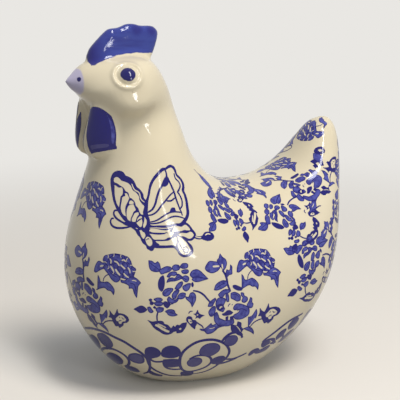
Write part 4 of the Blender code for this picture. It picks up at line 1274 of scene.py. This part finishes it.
# %% Where each print goes
OPEN, ROUND, NODDING = "open_peony_spray", "round_peony_spray", "nodding_peony"
flowers = [
    dict(name=ROUND, near=(16.7, -86.8, 58.2), turn=-7),
    dict(name=NODDING, near=(33.1, -71.4, 74.9)),
    dict(name=OPEN, near=(46.8, -41.8, 65.3)),
    dict(name=ROUND, near=(51.0, -12.7, 52.9)),
    dict(name=NODDING, near=(49.5, 5.2, 71.9)),
    dict(name=OPEN, near=(48.3, 41.9, 70.3), turn=19, size=0.97),
    dict(name=ROUND, near=(38.0, 66.5, 69.0), turn=25, size=0.95),
    dict(name=NODDING, near=(24.0, 76.0, 88.0), turn=25, size=0.95),
    dict(name=NODDING, near=(9.4, -74.8, 109.2)),
    dict(name=OPEN, near=(35.0, -7.5, 103.5), turn=80, size=0.85),
    dict(name=OPEN, near=(36.0, 29.5, 94.5), turn=68, size=0.90),
    dict(name=OPEN, near=(31.0, 70.0, 92.0), turn=60, size=0.75),
    dict(name=ROUND, near=(15.0, 10.1, 109.0), turn=79, size=0.88),
    dict(name=ROUND, near=(26.8, 49.1, 108.7), turn=59, size=0.90),
    dict(name=NODDING, near=(1.1, 44.9, 115.1), turn=59, size=0.90),
    dict(name=NODDING, near=(2.2, 67.0, 138.4), turn=180),
    dict(name=NODDING, near=(22.0, 78.0, 112.0), turn=40, size=0.8),
    dict(name="hanging_leaf", near=(24.2, -16.2, 118.9), size=0.6),
    dict(name="bud_sprig", near=(18.4, 63.5, 123.5), size=0.7),
    dict(name="tendril", near=(-9.1, 58.0, 123.9)),
]
far_flowers = [
    dict(name=OPEN, near=(-5.0, 85.0, 62.0), turn=10),
    dict(name=ROUND, near=(-34.0, 68.0, 54.0)),
    dict(name=NODDING, near=(-43.0, 54.0, 74.0)),
    dict(name=OPEN, near=(-50.0, 25.0, 65.0)),
    dict(name=ROUND, near=(-51.0, -5.0, 54.0)),
    dict(name=NODDING, near=(-49.0, -22.0, 74.0)),
    dict(name=OPEN, near=(-44.0, -47.0, 62.0)),
    dict(name=OPEN, near=(-13.0, -86.0, 68.0), size=0.9),
    dict(name=NODDING, near=(-26.0, -74.0, 88.0)),
    dict(name=NODDING, near=(-16.0, -74.0, 112.0), turn=-30),
    dict(name=OPEN, near=(-35.5, -7.5, 101.5), turn=100, size=0.92),
    dict(name=OPEN, near=(-36.4, 30.0, 95.0), turn=120, size=0.90),
    dict(name=ROUND, near=(-14.0, 14.0, 109.0), turn=100, size=0.88),
    dict(name=ROUND, near=(-26.8, 52.0, 108.7), turn=120, size=0.90),
    dict(name=NODDING, near=(-14.0, 66.0, 126.0), turn=150, size=0.90),
    dict(name=ROUND, near=(0.0, 90.0, 100.0), turn=15),
    dict(name=NODDING, near=(10.0, 90.0, 122.0), turn=15),
    dict(name=OPEN, near=(-22.0, 84.0, 92.0), turn=-15, size=0.85),
]
pressed_on("transfer_flowers", flowers + far_flowers)
wings = [
    dict(name="butterfly_right_wings", near=(37.8, -47.6, 105.8)),
    dict(name="butterfly_left_wings", near=(30.4, -61.2, 110.5)),
    dict(name="butterfly_right_wings", near=(-37.8, -47.6, 105.8), mirrored=True),
    dict(name="butterfly_left_wings", near=(-30.4, -61.2, 110.5), mirrored=True),
]
pressed_on("transfer_butterfly", wings)
border = [
    dict(name="scroll_medallion", near=(43.3, -33.2, 26.2)),
    dict(name="breast_medallion", near=(24.0, -65.9, 27.0)),
    dict(name="rear_medallion", near=(48.7, 10.4, 31.8)),
    dict(name="scroll_medallion", near=(28.0, 62.1, 26.0)),
    dict(name="rear_medallion", near=(-30.0, 59.8, 28.0)),
    dict(name="scroll_medallion", near=(-48.9, 4.9, 26.0)),
    dict(name="rear_medallion", near=(-30.6, -59.1, 28.0)),
]
pressed_on("transfer_border", border)

# %% [markdown]
# The wattles are brushed by hand, under the same glaze: a navy panel that leaves the rim
# cream, with a lighter stroke behind and another one along the foot of the panel. It is a
# closed shape like the others, so it goes on the same way, on both faces of each wattle.

# %% Brush the wattles
wattles = [
    dict(name="wattle_panel", near=(15.5, -70.5, 148.3)),
    dict(name="wattle_panel", near=(-15.5, -70.5, 148.3), mirrored=True),
    dict(name="wattle_edge", near=(-5.6, -75.0, 143.3)),
    dict(name="wattle_edge", near=(4.8, -74.6, 143.3), mirrored=True),
]
pressed_on("brushed_wattle_panels", wattles, BRUSHED_FILM)

# %% [markdown]
# ## The studio
# Photos of glazed ware live from what the glaze reflects, so three small lamps are shapes to
# be mirrored. A window low on the right is the bright patch on the belly, a slit above it
# draws that patch out upwards, and a long box overhead gives the glints on the cheek, the
# comb and the tail. The key does the lighting: it is broad and soft and comes from high on
# the right, so that the shadow falls to the left. Mirrored, it would be a large white patch,
# so glosses don't show it. The world fills the rest evenly.

# %% Lights
HEN_MIDDLE = Vector((0, -0.01, 0.1))


def area_light(name, around, above, away, size, power, colour="ffffff"):
    """A soft box seen from the hen at a bearing and a height in degrees."""
    data = bpy.data.lights.new(name, "AREA")
    data.shape = "RECTANGLE"
    data.size, data.size_y = size
    data.energy = power
    data.color = to_linear(colour)[:3]
    light = bpy.data.objects.new(name, data)
    put_round_the_hen(light, around, above, away, HEN_MIDDLE)
    print(name, "lamp,", power, "W")
    return light


key = area_light("key", 106, 62, 2.2, (0.8, 0.8), 27.0, "fff3e2")
key.visible_glossy = False
area_light("window", 100, 11, 0.9, (0.15, 0.17), 1.3)
area_light("slit", 97, 24, 0.9, (0.045, 0.22), 0.35)
area_light("top", 95, 68, 0.9, (0.10, 0.50), 2.7)

# %% [markdown]
# The pale ground comes from the colour of the paper and of the world, and never from more
# light on the hen. Both show the backdrop's colour at a strength of 1 to the camera, to
# glosses and to glass, and give the light that bounces a plain, dimmer sky. Near the hen
# the paper is an ordinary matt surface, so that it takes the shadow, and further out it
# fades into the backdrop.

# %% The backdrop, as the camera and every gloss see it
BACKDROP = "e9e7e3"
SKY, SKY_STRENGTH = "eef1f5", 0.38


def seen_directly(tree):
    """1 for a ray from the camera, a gloss or a glass, and 0 for light that only bounces."""
    path = add(tree, "LightPath")
    either = add(tree, "Math", {"operation": "MAXIMUM"},
                 {0: path.outputs["Is Camera Ray"], 1: path.outputs["Is Glossy Ray"]})
    return add(tree, "Math", {"operation": "MAXIMUM"},
               {0: either.outputs[0], 1: path.outputs["Is Transmission Ray"]}).outputs[0]


world = bpy.data.worlds.new("studio")
bpy.context.scene.world = world
world.use_nodes = True
sky = world.node_tree
sky.nodes.clear()
seen = seen_directly(sky)
fill = add(sky, "Background", {}, {"Color": SKY, "Strength": SKY_STRENGTH})
backdrop = add(sky, "Background", {}, {"Color": BACKDROP, "Strength": 1.0})
either = add(sky, "MixShader", {}, {0: seen, 1: fill.outputs[0], 2: backdrop.outputs[0]})
add(sky, "OutputWorld", {}, {"Surface": either.outputs[0]})
print("world has", len(sky.nodes), "nodes")

# %% Floor
FLOOR_HALF = 6.0
FADE_FROM, FADE_TO = 0.15, 0.75

floor_bm = bmesh.new()
bmesh.ops.create_grid(floor_bm, x_segments=1, y_segments=1, size=FLOOR_HALF)
floor = new_object("floor", floor_bm)

# Matt studio paper: it shows no gloss, and it takes a soft shadow.
paper, tree = new_material("pale_studio_paper")
seen = seen_directly(tree)
tone = add(tree, "Mix", {"data_type": "RGBA"}, {0: seen, 6: "a5a29c", 7: "e2e0dc"})
shader = add(tree, "BsdfPrincipled", {}, {
    "Base Color": tone.outputs[2], "Roughness": 0.9, "Specular IOR Level": 0.2,
})
backdrop = add(tree, "Emission", {}, {"Color": BACKDROP, "Strength": 1.0})
from_hen = add(tree, "VectorMath", {"operation": "LENGTH"},
               {0: add(tree, "TexCoord").outputs["Object"]}).outputs["Value"]
far = add(tree, "MapRange", {"interpolation_type": "SMOOTHSTEP"},
          {"Value": from_hen, "From Min": FADE_FROM, "From Max": FADE_TO}).outputs["Result"]
share = add(tree, "Math", {"operation": "MULTIPLY"}, {0: far, 1: seen}).outputs[0]
either = add(tree, "MixShader", {}, {0: share, 1: shader.outputs[0], 2: backdrop.outputs[0]})
add(tree, "OutputMaterial", {}, {"Surface": either.outputs[0]})
floor.data.materials.append(paper)

bpy.context.scene.view_settings.view_transform = "Standard"
